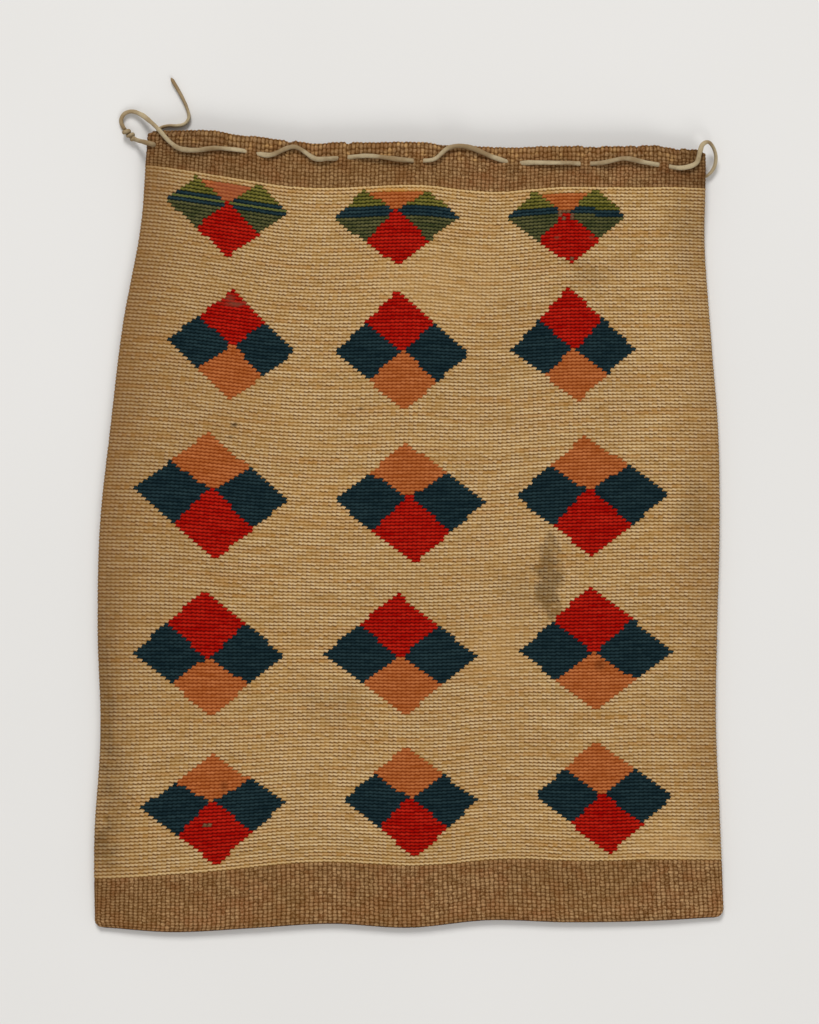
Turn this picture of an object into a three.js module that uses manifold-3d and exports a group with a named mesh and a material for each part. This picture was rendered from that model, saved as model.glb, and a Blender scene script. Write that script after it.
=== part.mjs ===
// Flat twined bag with a drawcord, lying on its back with the mouth towards +Y.
// Hemp twining makes the whole bag. A pale husk strand and dyed wool cover its outer face between
// a plain band at the base and a plain band at the rim. Millimetres, +Z up.

import * as THREE from "three";
import { mergeVertices } from "three/addons/utils/BufferGeometryUtils.js";
import Module from "manifold-3d";

const wasm = await Module();
wasm.setup();

// Outline of the bag as it lies
const BAG_LENGTH = 574;
const BASE_WIDTH = 464;
const MOUTH_WIDTH = 410;
const BASE_BAND = 42.4;
const RIM_BAND = 30.6;
const CORNER_RADIUS = 7;

// How far each edge and row wanders from its straight line, at equal steps
const LEFT_WANDER = [0, -3.4, -2.2, -7.7, -9.5, -5, 0.6, 10.6, 12.8];
const RIGHT_WANDER = [0, 0.4, 0.8, 5.1, 10.2, 12.7, 10.8, 9.3, 12.9];
const BASE_EDGE_WANDER = [-2.6, -5.9, -3, 0.3, -2.6, 2.9, 1.4, 2.2, 7];
const BASE_SEAM_WANDER = [-9.7, -6.4, -0.9, 2, 0.2, 3.9, 3.1, 4.2, 3.5];
const MIDDLE_WANDER = [7.5, 5.3, 0.1, -2.8, -2.1, -1.3, 1.6, 3.1, 3.1];
const RIM_SEAM_WANDER = [12.5, 5.1, -3.7, -4.1, 0, -4.8, -1.1, -1.5, -2.6];
const RIM_EDGE_WANDER = [8.3, 8, 1, -0.5, -0.5, -4.2, -3.1, -3.4, -5.6];

// Thickness of the bag and of its wall
const POUCH_THICKNESS = 17;
const MOUTH_THICKNESS = 13;
const BASE_THICKNESS = 7.5;
const FOLD_THICKNESS = 9;
const WALL = 2.4;
const OVERLAY = 0.9;
const SEAT_GAP = 0.3;
const FIELD_GAP = 0.3;
const RIDGE_DEPTH = 0.5;
const BASE_ROUNDING = 6;
const BASE_TAPER = 70;
const RIM_LIFT = 4.45;
const RIM_LIFT_RUN = 42;
const FRONT_SWELL = 0.7;
const SWELL_TURNS = 9;
const SWELL_ROWS = 23;
const DOME_POWER = 6;

// The twining, counted in rows from the base and in stitches across the front
const BASE_ROWS = 17;
const FIELD_ROWS = 200;
const RIM_ROWS = 12;
const STITCHES = 137;
const RIDGE_ROWS = 11;
const BAND_RIDGE_ROWS = 4;
const MIDDLE_ROW = 108;

// Diamonds: middle row above the base seam, middle stitch of each one in the row, half height in rows
// and half width in stitches, then the wool of their fields
const DIAMOND_ROWS = [
  { name: "first", row: 192.4, middles: [20.6, 62, 103.2], rows: 15.6, stitches: 14.6 },
  { name: "second", row: 151.4, middles: [26, 65.4, 105.1], rows: 16.8, stitches: 15.2 },
  { name: "third", row: 107.3, middles: [24.3, 68.6, 108.8], rows: 18, stitches: 17.3 },
  { name: "fourth", row: 61.6, middles: [24.2, 66.8, 110.2], rows: 18.2, stitches: 17.4 },
  { name: "fifth", row: 18.2, middles: [25.8, 69.5, 112], rows: 16, stitches: 15.7 },
];
const ROW_WOOL = {
  first: { top: "orange", sides: "green", bottom: "red" },
  second: { top: "red", sides: "teal", bottom: "orange" },
  third: { top: "orange", sides: "teal", bottom: "red" },
  fourth: { top: "red", sides: "teal", bottom: "orange" },
  fifth: { top: "orange", sides: "teal", bottom: "red" },
};
const COLUMN_NAMES = ["left", "middle", "right"];
const YARN_RUN_WIDTH = 2.4;
const YARN_RUN_LENGTH = 7;

// Drawcord and the strips of rim that hold it
const CORD_DIAMETER = 3.2;
const CORD_GAP = 0.3;
const CORD_REST_GAP = 0.45;
const CORD_SINK = 1.1;
const STRIP_WIDTH = 7.5;
const STRIP_SPAN = 15;
const STRIP_ROOT = 1;
const FRONT_STRIP_RISE = 2.5;
const BACK_CORD_HEIGHT = 2.5;
const FRONT_STRIPS = [0.189, 0.351, 0.486, 0.656, 0.783, 0.924];
const FRONT_STRIP_DROPS = [11.4, 11, 12.9, 10.7, 12.5, 12.5];
const BACK_STRIPS = [0.18, 0.4, 0.61, 0.83];
const BACK_STRIP_DROP = 13;
const KNOT_RADIUS = 3.6;
const KNOT_OFFSET = 2.6;
const KNOT_FACETS = 10;
const KNOT_GAP = 0.8;

// How finely the walls and the cord are stepped
const FRONT_COLUMNS = 6;
const FOLD_STEPS = 3;
const TAPER_STEPS = 3;
const POUCH_STEPS = 12;
const INSIDE_STEPS = 5;
const LIFT_STEPS = 4;
const STRIP_STEPS = 4;
const CORD_SIDES = 8;
const TIE_STEPS = 4;
const FRONT_CORD_STEPS = 50;
const BACK_CORD_STEPS = 12;
const TAIL_STEPS = 11;

const TOTAL_ROWS = BASE_ROWS + FIELD_ROWS + RIM_ROWS;
const RIM_SEAM_ROW = BASE_ROWS + FIELD_ROWS;
const ROW_PITCH = BAG_LENGTH / TOTAL_ROWS;
const RIM_ROW_PITCH = RIM_BAND / RIM_ROWS;
const CORD_RADIUS = CORD_DIAMETER / 2;
const CHANNEL_RADIUS = CORD_RADIUS + CORD_GAP;

function finish(colour, roughness) {
  return new THREE.MeshStandardMaterial({ color: colour, roughness, metalness: 0 });
}

const MATERIALS = {
  hemp: finish("#7b5834", 0.9),
  husk: finish("#b08c5c", 0.65),
  red: finish("#8c1410", 0.95),
  orange: finish("#9c5226", 0.95),
  teal: finish("#17292c", 0.95),
  green: finish("#3c4630", 0.95),
  cord: finish("#b0a283", 0.8),
};

// Smooth curve through values at equal steps, read at t from 0 to 1
function wander(values, t) {
  const last = values.length - 1;
  const at = THREE.MathUtils.clamp(t, 0, 1) * last;
  const step = Math.min(Math.floor(at), last - 1);
  const f = at - step;
  const from = values[step];
  const to = values[step + 1];
  const startSlope = (to - values[Math.max(step - 1, 0)]) / 2;
  const endSlope = (values[Math.min(step + 2, last)] - from) / 2;
  const cubic = startSlope + endSlope - 2 * (to - from);
  const square = 3 * (to - from) - 2 * startSlope - endSlope;
  return from + f * (startSlope + f * (square + f * cubic));
}

// Rows that are drawn as curves; the rows between them are spread evenly
const FIELD_LENGTH = BAG_LENGTH - BASE_BAND - RIM_BAND;
const BASE_EDGE = -BAG_LENGTH / 2;
const BASE_SEAM = BASE_EDGE + BASE_BAND;
const MIDDLE_LINE = BASE_SEAM + (FIELD_LENGTH * MIDDLE_ROW) / FIELD_ROWS;
const GUIDES = [
  { row: 0, y: BASE_EDGE, rise: BASE_EDGE_WANDER },
  { row: BASE_ROWS, y: BASE_SEAM, rise: BASE_SEAM_WANDER },
  { row: BASE_ROWS + MIDDLE_ROW, y: MIDDLE_LINE, rise: MIDDLE_WANDER },
  { row: RIM_SEAM_ROW, y: BASE_SEAM + FIELD_LENGTH, rise: RIM_SEAM_WANDER },
  { row: TOTAL_ROWS, y: BAG_LENGTH / 2, rise: RIM_EDGE_WANDER },
];

function guideHeight(guide, u) {
  return guide.y + wander(guide.rise, u);
}

function rowY(u, row) {
  let low = 0;
  while (low < GUIDES.length - 2 && row > GUIDES[low + 1].row) {
    low += 1;
  }
  const below = GUIDES[low];
  const above = GUIDES[low + 1];
  const f = (row - below.row) / (above.row - below.row);
  return THREE.MathUtils.lerp(guideHeight(below, u), guideHeight(above, u), f);
}

// A side edge pulls in before a corner, as a quarter circle does
function cornerInset(row) {
  const fromEnd = Math.min(row, TOTAL_ROWS - row) * ROW_PITCH;
  const inside = Math.max(CORNER_RADIUS - fromEnd, 0);
  return CORNER_RADIUS - Math.sqrt(CORNER_RADIUS ** 2 - inside ** 2);
}

function leftEdge(row) {
  const v = row / TOTAL_ROWS;
  return -THREE.MathUtils.lerp(BASE_WIDTH, MOUTH_WIDTH, v) / 2 + wander(LEFT_WANDER, v) + cornerInset(row);
}

function rightEdge(row) {
  const v = row / TOTAL_ROWS;
  return THREE.MathUtils.lerp(BASE_WIDTH, MOUTH_WIDTH, v) / 2 + wander(RIGHT_WANDER, v) - cornerInset(row);
}

function rowX(u, row) {
  return THREE.MathUtils.lerp(leftEdge(row), rightEdge(row), u);
}

// The rim stands on the cord that is laced behind it
const LIFT_ROW = RIM_SEAM_ROW - RIM_LIFT_RUN / ROW_PITCH;

function liftShare(row) {
  return THREE.MathUtils.smoothstep(row, LIFT_ROW, RIM_SEAM_ROW);
}

function backHeight(row) {
  return RIM_LIFT * liftShare(row);
}

// Outer thickness: closed at the base, fullest in the pouch, a little less at the mouth
function fullThickness(row) {
  const fromBase = THREE.MathUtils.smoothstep(row * ROW_PITCH, 0, BASE_TAPER);
  const pouch = THREE.MathUtils.lerp(BASE_THICKNESS, POUCH_THICKNESS, fromBase);
  return THREE.MathUtils.lerp(pouch, MOUTH_THICKNESS, liftShare(row));
}

function foldThickness(row) {
  return FOLD_THICKNESS * Math.min(fullThickness(row) / MOUTH_THICKNESS, 1);
}

// The front bulges between the folds and swells here and there
function thickness(u, row) {
  const dome = 1 - Math.abs(2 * u - 1) ** DOME_POWER;
  const swell = FRONT_SWELL * dome * Math.sin(SWELL_TURNS * u + row / SWELL_ROWS) ** 2;
  const fromBase = THREE.MathUtils.smoothstep(row * ROW_PITCH, 0, BASE_TAPER);
  return THREE.MathUtils.lerp(foldThickness(row), fullThickness(row), dome) + swell * fromBase;
}

// The base edge is rounded off: share of the thickness that is left there
const BASE_EDGE_SHARE = 0.12;

function baseRound(row) {
  const s = Math.min((row * ROW_PITCH) / BASE_ROUNDING, 1);
  return Math.max(Math.sqrt(1 - (1 - s) ** 2), BASE_EDGE_SHARE);
}

function frontHeight(u, row) {
  return backHeight(row) + (thickness(u, row) / 2) * (1 + baseRound(row));
}

function backFaceHeight(u, row) {
  return backHeight(row) + (thickness(u, row) / 2) * (1 - baseRound(row));
}

// One closed loop round the bag at a row. inset moves the whole skin inwards, ridge only its front and
// folds.
const LEAST_FOLD_RADIUS = 0.2;

function loop(row, inset, ridge = 0) {
  const half = (foldThickness(row) / 2) * baseRound(row);
  const radius = Math.max(half - inset - ridge, LEAST_FOLD_RADIUS);
  const foldHeight = backHeight(row) + foldThickness(row) / 2;
  const edgeShare = half / (rightEdge(row) - leftEdge(row));
  const stations = spread(edgeShare, 1 - edgeShare, FRONT_COLUMNS);
  const at = (u, height) => new THREE.Vector3(rowX(u, row), rowY(u, row), height);
  const front = stations.map((u) => at(u, frontHeight(u, row) - inset - ridge));
  const back = stations.map((u) => at(u, backFaceHeight(u, row) + inset));
  const fold = (u, x, start) =>
    Array.from({ length: FOLD_STEPS - 1 }, (_, k) => {
      const angle = start - (Math.PI * (k + 1)) / FOLD_STEPS;
      const height = foldHeight + Math.sin(angle) * radius;
      return new THREE.Vector3(x + Math.cos(angle) * radius, rowY(u, row), height);
    });
  const rightFold = fold(1, rightEdge(row) - half, Math.PI / 2);
  const leftFold = fold(0, leftEdge(row) + half, -Math.PI / 2);
  return [...front, ...rightFold, ...back.reverse(), ...leftFold];
}

function spread(from, to, steps) {
  return Array.from({ length: steps + 1 }, (_, i) => THREE.MathUtils.lerp(from, to, i / steps));
}

// Solids and meshes
function solidFromArrays(vertices, triangles) {
  const mesh = new wasm.Mesh({
    numProp: 3,
    vertProperties: new Float32Array(vertices),
    triVerts: new Uint32Array(triangles),
  });
  return new wasm.Manifold(mesh);
}

const MERGE_DISTANCE = 1e-4;

function solidFromGeometry(geometry) {
  geometry.deleteAttribute("normal");
  geometry.deleteAttribute("uv");
  const merged = mergeVertices(geometry, MERGE_DISTANCE);
  return solidFromArrays(merged.attributes.position.array, merged.index.array);
}

function addMesh(name, solid, material) {
  const result = solid.getMesh();
  const geometry = new THREE.BufferGeometry();
  geometry.setAttribute("position", new THREE.BufferAttribute(result.vertProperties, result.numProp));
  geometry.setIndex(new THREE.BufferAttribute(result.triVerts, 1));
  geometry.computeVertexNormals();
  const mesh = new THREE.Mesh(geometry, material);
  mesh.name = name;
  model.add(mesh);
  return mesh;
}

// Skin through a list of loops. The ends are capped, or joined to each other for a sleeve.
function loft(loops, sleeve) {
  const size = loops[0].length;
  const vertices = loops.flat().flatMap((p) => [p.x, p.y, p.z]);
  const triangles = [];
  const joins = sleeve ? loops.length : loops.length - 1;
  for (let r = 0; r < joins; r += 1) {
    const next = (r + 1) % loops.length;
    for (let k = 0; k < size; k += 1) {
      const a = r * size + k;
      const b = r * size + ((k + 1) % size);
      const c = next * size + ((k + 1) % size);
      const d = next * size + k;
      const upwards = loops[next][k].y > loops[r][k].y;
      triangles.push(...(upwards ? [a, b, c, a, c, d] : [a, b, d, b, c, d]));
    }
  }
  if (!sleeve) {
    cap(0, triangles, true);
    cap((loops.length - 1) * size, triangles, false);
  }
  return solidFromArrays(vertices, triangles);
}

// Closes a loop: strips between its front and its back, and a fan at each fold
function cap(first, triangles, flip) {
  const front = (k) => first + k;
  const back = (k) => first + FRONT_COLUMNS + FOLD_STEPS + FRONT_COLUMNS - k;
  const corners = [];
  for (let k = 0; k < FRONT_COLUMNS; k += 1) {
    corners.push([front(k), front(k + 1), back(k + 1)], [front(k), back(k + 1), back(k)]);
  }
  for (let k = 1; k < FOLD_STEPS; k += 1) {
    const last = k === FOLD_STEPS - 1 ? front(0) : back(0) + k + 1;
    corners.push([front(FRONT_COLUMNS), front(FRONT_COLUMNS) + k, front(FRONT_COLUMNS) + k + 1]);
    corners.push([back(0), back(0) + k, last]);
  }
  for (const [a, b, c] of corners) {
    triangles.push(...(flip ? [a, c, b] : [a, b, c]));
  }
}

// Loops of a ridged stretch: every ridge has a groove, then a crest
function ridgedLoops(from, to, ridgeRows) {
  const ridges = Math.max(Math.round((to - from) / ridgeRows), 1);
  return spread(from, to, ridges * 2).map((row, i) => loop(row, 0, i % 2 === 0 ? RIDGE_DEPTH : 0));
}

// Rows of a smooth stretch of wall: wide steps in the pouch, narrow ones near the base and where the
// rim lifts
const TAPER_ROW = BASE_TAPER / ROW_PITCH;

function smoothRows(from, to, pouchSteps) {
  const nearBase = spread(from, TAPER_ROW, TAPER_STEPS).slice(0, -1);
  const pouch = spread(TAPER_ROW, LIFT_ROW, pouchSteps).slice(0, -1);
  return [...nearBase, ...pouch, ...spread(LIFT_ROW, to, LIFT_STEPS)];
}

// Twined hemp wall: the outside from base to rim, then the inside back down
const ROUNDED_ROWS = BASE_ROUNDING / ROW_PITCH;
const INNER_BASE_ROW = (BASE_ROUNDING + WALL) / ROW_PITCH;
const ROUNDED_SHARES = [0, 0.12, 0.4];

function bagWall() {
  const rounded = ROUNDED_SHARES.map((share) => loop(share * ROUNDED_ROWS, 0));
  const base = ridgedLoops(ROUNDED_ROWS, BASE_ROWS, BAND_RIDGE_ROWS);
  const field = smoothRows(BASE_ROWS, RIM_SEAM_ROW, POUCH_STEPS).map((row) => loop(row, OVERLAY + SEAT_GAP));
  const rim = ridgedLoops(RIM_SEAM_ROW, TOTAL_ROWS, BAND_RIDGE_ROWS);
  const insideRows = [...smoothRows(INNER_BASE_ROW, RIM_SEAM_ROW, INSIDE_STEPS), TOTAL_ROWS];
  const inside = insideRows.map((row) => loop(row, WALL));
  return loft([...rounded, ...base, ...field, ...rim, ...inside.reverse()], false);
}

// Overlay all round the field, before the diamonds are cut out of it
function overlaySleeve() {
  const from = BASE_ROWS + FIELD_GAP / ROW_PITCH;
  const to = RIM_SEAM_ROW - FIELD_GAP / ROW_PITCH;
  const inside = smoothRows(from, to, POUCH_STEPS).map((row) => loop(row, OVERLAY));
  return loft([...ridgedLoops(from, to, RIDGE_ROWS), ...inside.reverse()], true);
}

// Upright prism over an outline, from a height up past the front of the bag
function prism(outline, from) {
  const geometry = new THREE.ExtrudeGeometry(new THREE.Shape(outline), {
    depth: POUCH_THICKNESS + RIM_LIFT,
    bevelEnabled: false,
  });
  return solidFromGeometry(geometry.translate(0, 0, from));
}

// Moves every side of an outline, listed clockwise, outwards by a distance
function grow(outline, distance) {
  const count = outline.length;
  const outwards = outline.map((point, i) => {
    const along = outline[(i + 1) % count].clone().sub(point).normalize();
    return new THREE.Vector2(-along.y, along.x);
  });
  return outline.map((point, i) => {
    const before = outwards[(i + count - 1) % count];
    const after = outwards[i];
    const corner = before.clone().add(after).divideScalar(1 + before.dot(after));
    return point.clone().addScaledVector(corner, distance);
  });
}

// Outlines of one diamond and of its fields, clockwise, with the run of yarn that joins its side fields
function diamondOutlines(diamond, middle) {
  const at = (across, up) => {
    const u = (middle + across * diamond.stitches) / STITCHES;
    const row = BASE_ROWS + diamond.row + up * diamond.rows;
    return new THREE.Vector2(rowX(u, row), rowY(u, row));
  };
  const centre = at(0, 0);
  const upperLeft = at(-0.5, 0.5);
  const upperRight = at(0.5, 0.5);
  const lowerLeft = at(-0.5, -0.5);
  const lowerRight = at(0.5, -0.5);
  const run = new THREE.Vector2(YARN_RUN_LENGTH / 2, YARN_RUN_WIDTH / 2);
  return {
    whole: [at(0, 1), upperRight, at(1, 0), lowerRight, at(0, -1), lowerLeft, at(-1, 0), upperLeft],
    top: [at(0, 1), upperRight, centre, upperLeft],
    right: [upperRight, at(1, 0), lowerRight, centre],
    bottom: [centre, lowerRight, at(0, -1), lowerLeft],
    left: [upperLeft, centre, lowerLeft, at(-1, 0)],
    run: [
      new THREE.Vector2(centre.x - run.x, centre.y + run.y),
      new THREE.Vector2(centre.x + run.x, centre.y + run.y),
      new THREE.Vector2(centre.x + run.x, centre.y - run.y),
      new THREE.Vector2(centre.x - run.x, centre.y - run.y),
    ],
  };
}

// The three wool nodes of one diamond, cut out of the overlay, and the window that they leave in it
function addDiamond(sleeve, diamond, column) {
  const outlines = diamondOutlines(diamond, diamond.middles[column]);
  const row = BASE_ROWS + diamond.row;
  const floor = backHeight(row) + fullThickness(row) / 2;
  const field = (side) => prism(grow(outlines[side], -FIELD_GAP / 2), floor);
  const runChannel = prism(grow(outlines.run, FIELD_GAP), floor);
  const fields = {
    top: field("top").subtract(runChannel),
    sides: field("left").add(field("right")).add(prism(outlines.run, floor)),
    bottom: field("bottom").subtract(runChannel),
  };
  for (const [side, solid] of Object.entries(fields)) {
    const name = `wool_${diamond.name}_row_${COLUMN_NAMES[column]}_${side}`;
    addMesh(name, sleeve.intersect(solid), MATERIALS[ROW_WOOL[diamond.name][side]]);
  }
  return prism(grow(outlines.whole, FIELD_GAP / 2), floor);
}

function addOverlay() {
  const sleeve = overlaySleeve();
  let husk = sleeve;
  for (const diamond of DIAMOND_ROWS) {
    diamond.middles.forEach((_, column) => {
      husk = husk.subtract(addDiamond(sleeve, diamond, column));
    });
  }
  addMesh("husk_overlay", husk, MATERIALS.husk);
}

// Points of the drawcord. On the bag they are [share of the width, drop below the rim edge]; beside it
// they are [to the right, towards the mouth, height] from a corner of the rim.
const TIE_POINTS = [
  [8.5, -9.9, 12.6],
  [4.4, -9, 15],
  [0, -7.7, 14],
  [-4, -6.2, 9.5],
  [-7.7, -4.4, 4.8],
];
const KNOT_POINT = [-11.8, -1.5, 3.9];
const LOOP_POINTS = [
  [-15.8, 3.3, 2.4],
  [-18.4, 9.2, 1.9],
  [-16.5, 14.3, 1.9],
  [-11, 16.5, 2.2],
  [-3.7, 14, 5],
  [3.7, 8.1, 10.4],
  [10.3, 1.5, 16.4],
];
const FRONT_POINTS = [
  [0.042, 7.9],
  [0.06, 13],
  [0.09, 14.4],
  [0.123, 12.5],
  [0.157, 12],
  [0.221, 12],
  [0.264, 4.1],
  [0.303, 12.2],
  [0.322, 12],
  [0.395, 9.6],
  [0.455, 12.6],
  [0.514, 11.8],
  [0.54, 2.6],
  [0.57, 0.6],
  [0.622, 7.4],
  [0.687, 11.2],
  [0.719, 11.8],
  [0.752, 12.2],
  [0.815, 12],
  [0.853, 8.8],
  [0.89, 11.3],
  [0.957, 13.6],
  [0.981, 9.5],
];
const RIGHT_TURN_POINTS = [
  [-5, -1.5, 15.8],
  [-2.8, 4.4, 14.2],
  [1.6, 6.6, 11.6],
  [5.7, 2.9, 8.4],
  [7.9, -4.4, 5.4],
  [6, -12.5, 3.1],
  [-0.2, -18, 2.5],
];
const BACK_POINTS = [
  [0.965, 18.5],
  [0.92, 15.5],
  [0.6, 13],
  [0.4, 13],
  [0.1, 14],
  [0.065, 16.5],
  [0.045, 15.5],
];
const TAIL_POINTS = [
  [9.4, -8.8, 2.3],
  [7.4, -2.2, 1.9],
  [9.8, 3.6, 1.9],
  [16.2, 5.9, 1.9],
  [22.8, 5.9, 1.9],
  [28.7, 7.4, 1.9],
  [31.6, 12.1, 1.9],
  [30.1, 19.1, 1.9],
  [25.7, 28.7, 1.9],
  [18.4, 41.2, 1.9],
];

function onRim(u, drop) {
  const row = TOTAL_ROWS - drop / RIM_ROW_PITCH;
  return new THREE.Vector3(rowX(u, row), rowY(u, TOTAL_ROWS) - drop, frontHeight(u, row));
}

function besideRim(u, [right, forward, height]) {
  return new THREE.Vector3(rowX(u, RIM_SEAM_ROW) + right, rowY(u, TOTAL_ROWS) + forward, height);
}

function cordRoute() {
  const resting = FRONT_POINTS.map(([u, drop]) => ({ u, drop, lift: CORD_RADIUS + CORD_REST_GAP }));
  const sunk = FRONT_STRIPS.map((u, i) => ({ u, drop: FRONT_STRIP_DROPS[i], lift: -CORD_SINK }));
  const front = [...resting, ...sunk].sort((a, b) => a.u - b.u);
  const alongFront = front.map(({ u, drop, lift }) => onRim(u, drop).add(new THREE.Vector3(0, 0, lift)));
  const alongBack = BACK_POINTS.map(([u, drop]) => onRim(u, drop).setZ(BACK_CORD_HEIGHT));
  const left = (point) => besideRim(0, point);
  const right = (point) => besideRim(1, point);
  return new THREE.CatmullRomCurve3([
    ...TIE_POINTS.map(left),
    left(KNOT_POINT),
    ...LOOP_POINTS.map(left),
    ...alongFront,
    ...RIGHT_TURN_POINTS.map(right),
    ...alongBack,
    ...TAIL_POINTS.map(left),
  ]);
}

// Part of a longer curve, between two lengths along it
class Stretch extends THREE.Curve {
  constructor(whole, from, to) {
    super();
    this.whole = whole;
    this.from = from / whole.getLength();
    this.to = to / whole.getLength();
  }

  getPoint(t, target) {
    return this.whole.getPointAt(THREE.MathUtils.lerp(this.from, this.to, t), target);
  }
}

function tube(path, radius, steps) {
  const section = Array.from({ length: CORD_SIDES }, (_, i) => {
    const angle = (2 * Math.PI * i) / CORD_SIDES;
    return new THREE.Vector2(Math.cos(angle) * radius, Math.sin(angle) * radius);
  });
  const shape = new THREE.Shape(section);
  return solidFromGeometry(new THREE.ExtrudeGeometry(shape, { steps, extrudePath: path }));
}

// Length along a curve at which it passes closest to a point
const CURVE_SAMPLES = 2000;

function lengthAt(curve, point) {
  const lengths = spread(0, 1, CURVE_SAMPLES);
  const distances = lengths.map((share) => curve.getPointAt(share).distanceTo(point));
  return lengths[distances.indexOf(Math.min(...distances))] * curve.getLength();
}

// Strip of rim that stands over the cord; up is 1 on the front and -1 on the back
function strip(place, rise, up) {
  const half = STRIP_SPAN / 2;
  const profile = new THREE.Shape();
  profile.moveTo(-half, -STRIP_ROOT);
  profile.lineTo(half, -STRIP_ROOT);
  profile.lineTo(half, 0);
  profile.quadraticCurveTo(0, 2 * rise, -half, 0);
  profile.closePath();
  const geometry = new THREE.ExtrudeGeometry(profile, {
    depth: STRIP_WIDTH,
    curveSegments: STRIP_STEPS,
    bevelEnabled: false,
  });
  geometry.translate(0, 0, -STRIP_WIDTH / 2);
  const across = new THREE.Vector3(0, up, 0);
  const outwards = new THREE.Vector3(0, 0, up);
  const standing = new THREE.Matrix4().makeBasis(across, outwards, new THREE.Vector3(1, 0, 0));
  geometry.applyMatrix4(standing.setPosition(place));
  return solidFromGeometry(geometry);
}

function addBagAndCord() {
  const route = cordRoute();
  const knot = besideRim(0, KNOT_POINT);
  const knotAt = lengthAt(route, knot);
  const turnAt = lengthAt(route, besideRim(1, RIGHT_TURN_POINTS.at(-2)));
  const tailAt = lengthAt(route, besideRim(0, TAIL_POINTS[0]));
  const knotReach = KNOT_RADIUS + KNOT_OFFSET + KNOT_GAP;
  const stretches = [
    { name: "drawcord_tie", from: 0, to: knotAt - knotReach, steps: TIE_STEPS },
    { name: "drawcord_front", from: knotAt + knotReach, to: turnAt, steps: FRONT_CORD_STEPS },
    { name: "drawcord_back", from: turnAt + CORD_GAP, to: tailAt, steps: BACK_CORD_STEPS },
    { name: "drawcord_tail", from: tailAt + CORD_GAP, to: route.getLength(), steps: TAIL_STEPS },
  ];
  let bag = bagWall();
  FRONT_STRIPS.forEach((u, i) => {
    bag = bag.add(strip(onRim(u, FRONT_STRIP_DROPS[i]), FRONT_STRIP_RISE, 1));
  });
  BACK_STRIPS.forEach((u) => {
    bag = bag.add(strip(onRim(u, BACK_STRIP_DROP).setZ(RIM_LIFT), RIM_LIFT, -1));
  });
  for (const { name, from, to, steps } of stretches) {
    const path = new Stretch(route, from, to);
    addMesh(name, tube(path, CORD_RADIUS, steps), MATERIALS.cord);
    bag = bag.subtract(tube(path, CHANNEL_RADIUS, steps));
  }
  const lump = () => new THREE.SphereGeometry(KNOT_RADIUS, KNOT_FACETS, KNOT_FACETS / 2);
  const along = route.getTangentAt(knotAt / route.getLength()).multiplyScalar(KNOT_OFFSET);
  const first = knot.clone().add(along);
  const second = knot.clone().sub(along);
  const firstLump = solidFromGeometry(lump().translate(...first));
  const secondLump = solidFromGeometry(lump().translate(...second));
  addMesh("drawcord_knot", firstLump.add(secondLump), MATERIALS.cord);
  return addMesh("twined_bag", bag, MATERIALS.hemp);
}

const model = new THREE.Group();
addOverlay();
const bag = addBagAndCord();

// The origin is on the floor under the middle of the bag
bag.geometry.computeBoundingBox();
const middle = bag.geometry.boundingBox.getCenter(new THREE.Vector3());
model.position.set(-middle.x, -middle.y, 0);

export default model;
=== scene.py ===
# Flat twined bag on its back, mouth towards +Y: hemp bands at base and rim, a husk face with wool diamonds
# worked stitch by stitch, and a pale drawcord round the mouth. Sizes in millimetres become metres in pieces.
import math

import bpy
import numpy as np
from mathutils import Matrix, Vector


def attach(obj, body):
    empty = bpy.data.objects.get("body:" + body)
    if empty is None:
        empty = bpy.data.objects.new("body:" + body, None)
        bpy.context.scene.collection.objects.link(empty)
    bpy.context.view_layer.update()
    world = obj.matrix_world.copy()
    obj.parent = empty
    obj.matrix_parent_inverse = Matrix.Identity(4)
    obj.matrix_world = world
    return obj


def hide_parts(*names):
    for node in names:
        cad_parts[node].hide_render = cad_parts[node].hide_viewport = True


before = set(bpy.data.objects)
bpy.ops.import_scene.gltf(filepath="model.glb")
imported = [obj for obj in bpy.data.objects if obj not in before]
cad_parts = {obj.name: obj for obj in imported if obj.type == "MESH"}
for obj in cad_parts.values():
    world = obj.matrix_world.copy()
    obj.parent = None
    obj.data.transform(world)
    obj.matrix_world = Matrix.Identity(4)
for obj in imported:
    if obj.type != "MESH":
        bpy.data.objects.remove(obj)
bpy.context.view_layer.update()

MM = 0.001
BODY = "root"
# The bag's own middle is moved on to the frame's origin
SHIFT = np.array([0.178, -1.456, 0.0])

# Outline of the bag as it lies
BAG_LENGTH = 574
BASE_WIDTH = 464
MOUTH_WIDTH = 410
BASE_BAND = 42.4
RIM_BAND = 30.6
CORNER_RADIUS = 7
RIM_CORNER_RADIUS = 3

# How far each side wanders from its straight line, at equal steps
LEFT_WANDER = (0, -3.4, -2.2, -7.7, -9.5, -5, 0.6, 10.6, 12.8)
RIGHT_WANDER = (0, 0.4, 0.8, 5.1, 10.2, 12.7, 10.8, 9.3, 12.9)

# Thickness of the bag and of its wall
POUCH_THICKNESS = 17
MOUTH_THICKNESS = 13
BASE_THICKNESS = 7.5
FOLD_THICKNESS = 9
WALL = 2.4
BASE_ROUNDING = 6
BASE_TAPER = 70
RIM_LIFT = 4.45
RIM_LIFT_RUN = 42
FRONT_SWELL = 0.7
SWELL_TURNS = 9
SWELL_ROWS = 23
DOME_POWER = 6

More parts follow.
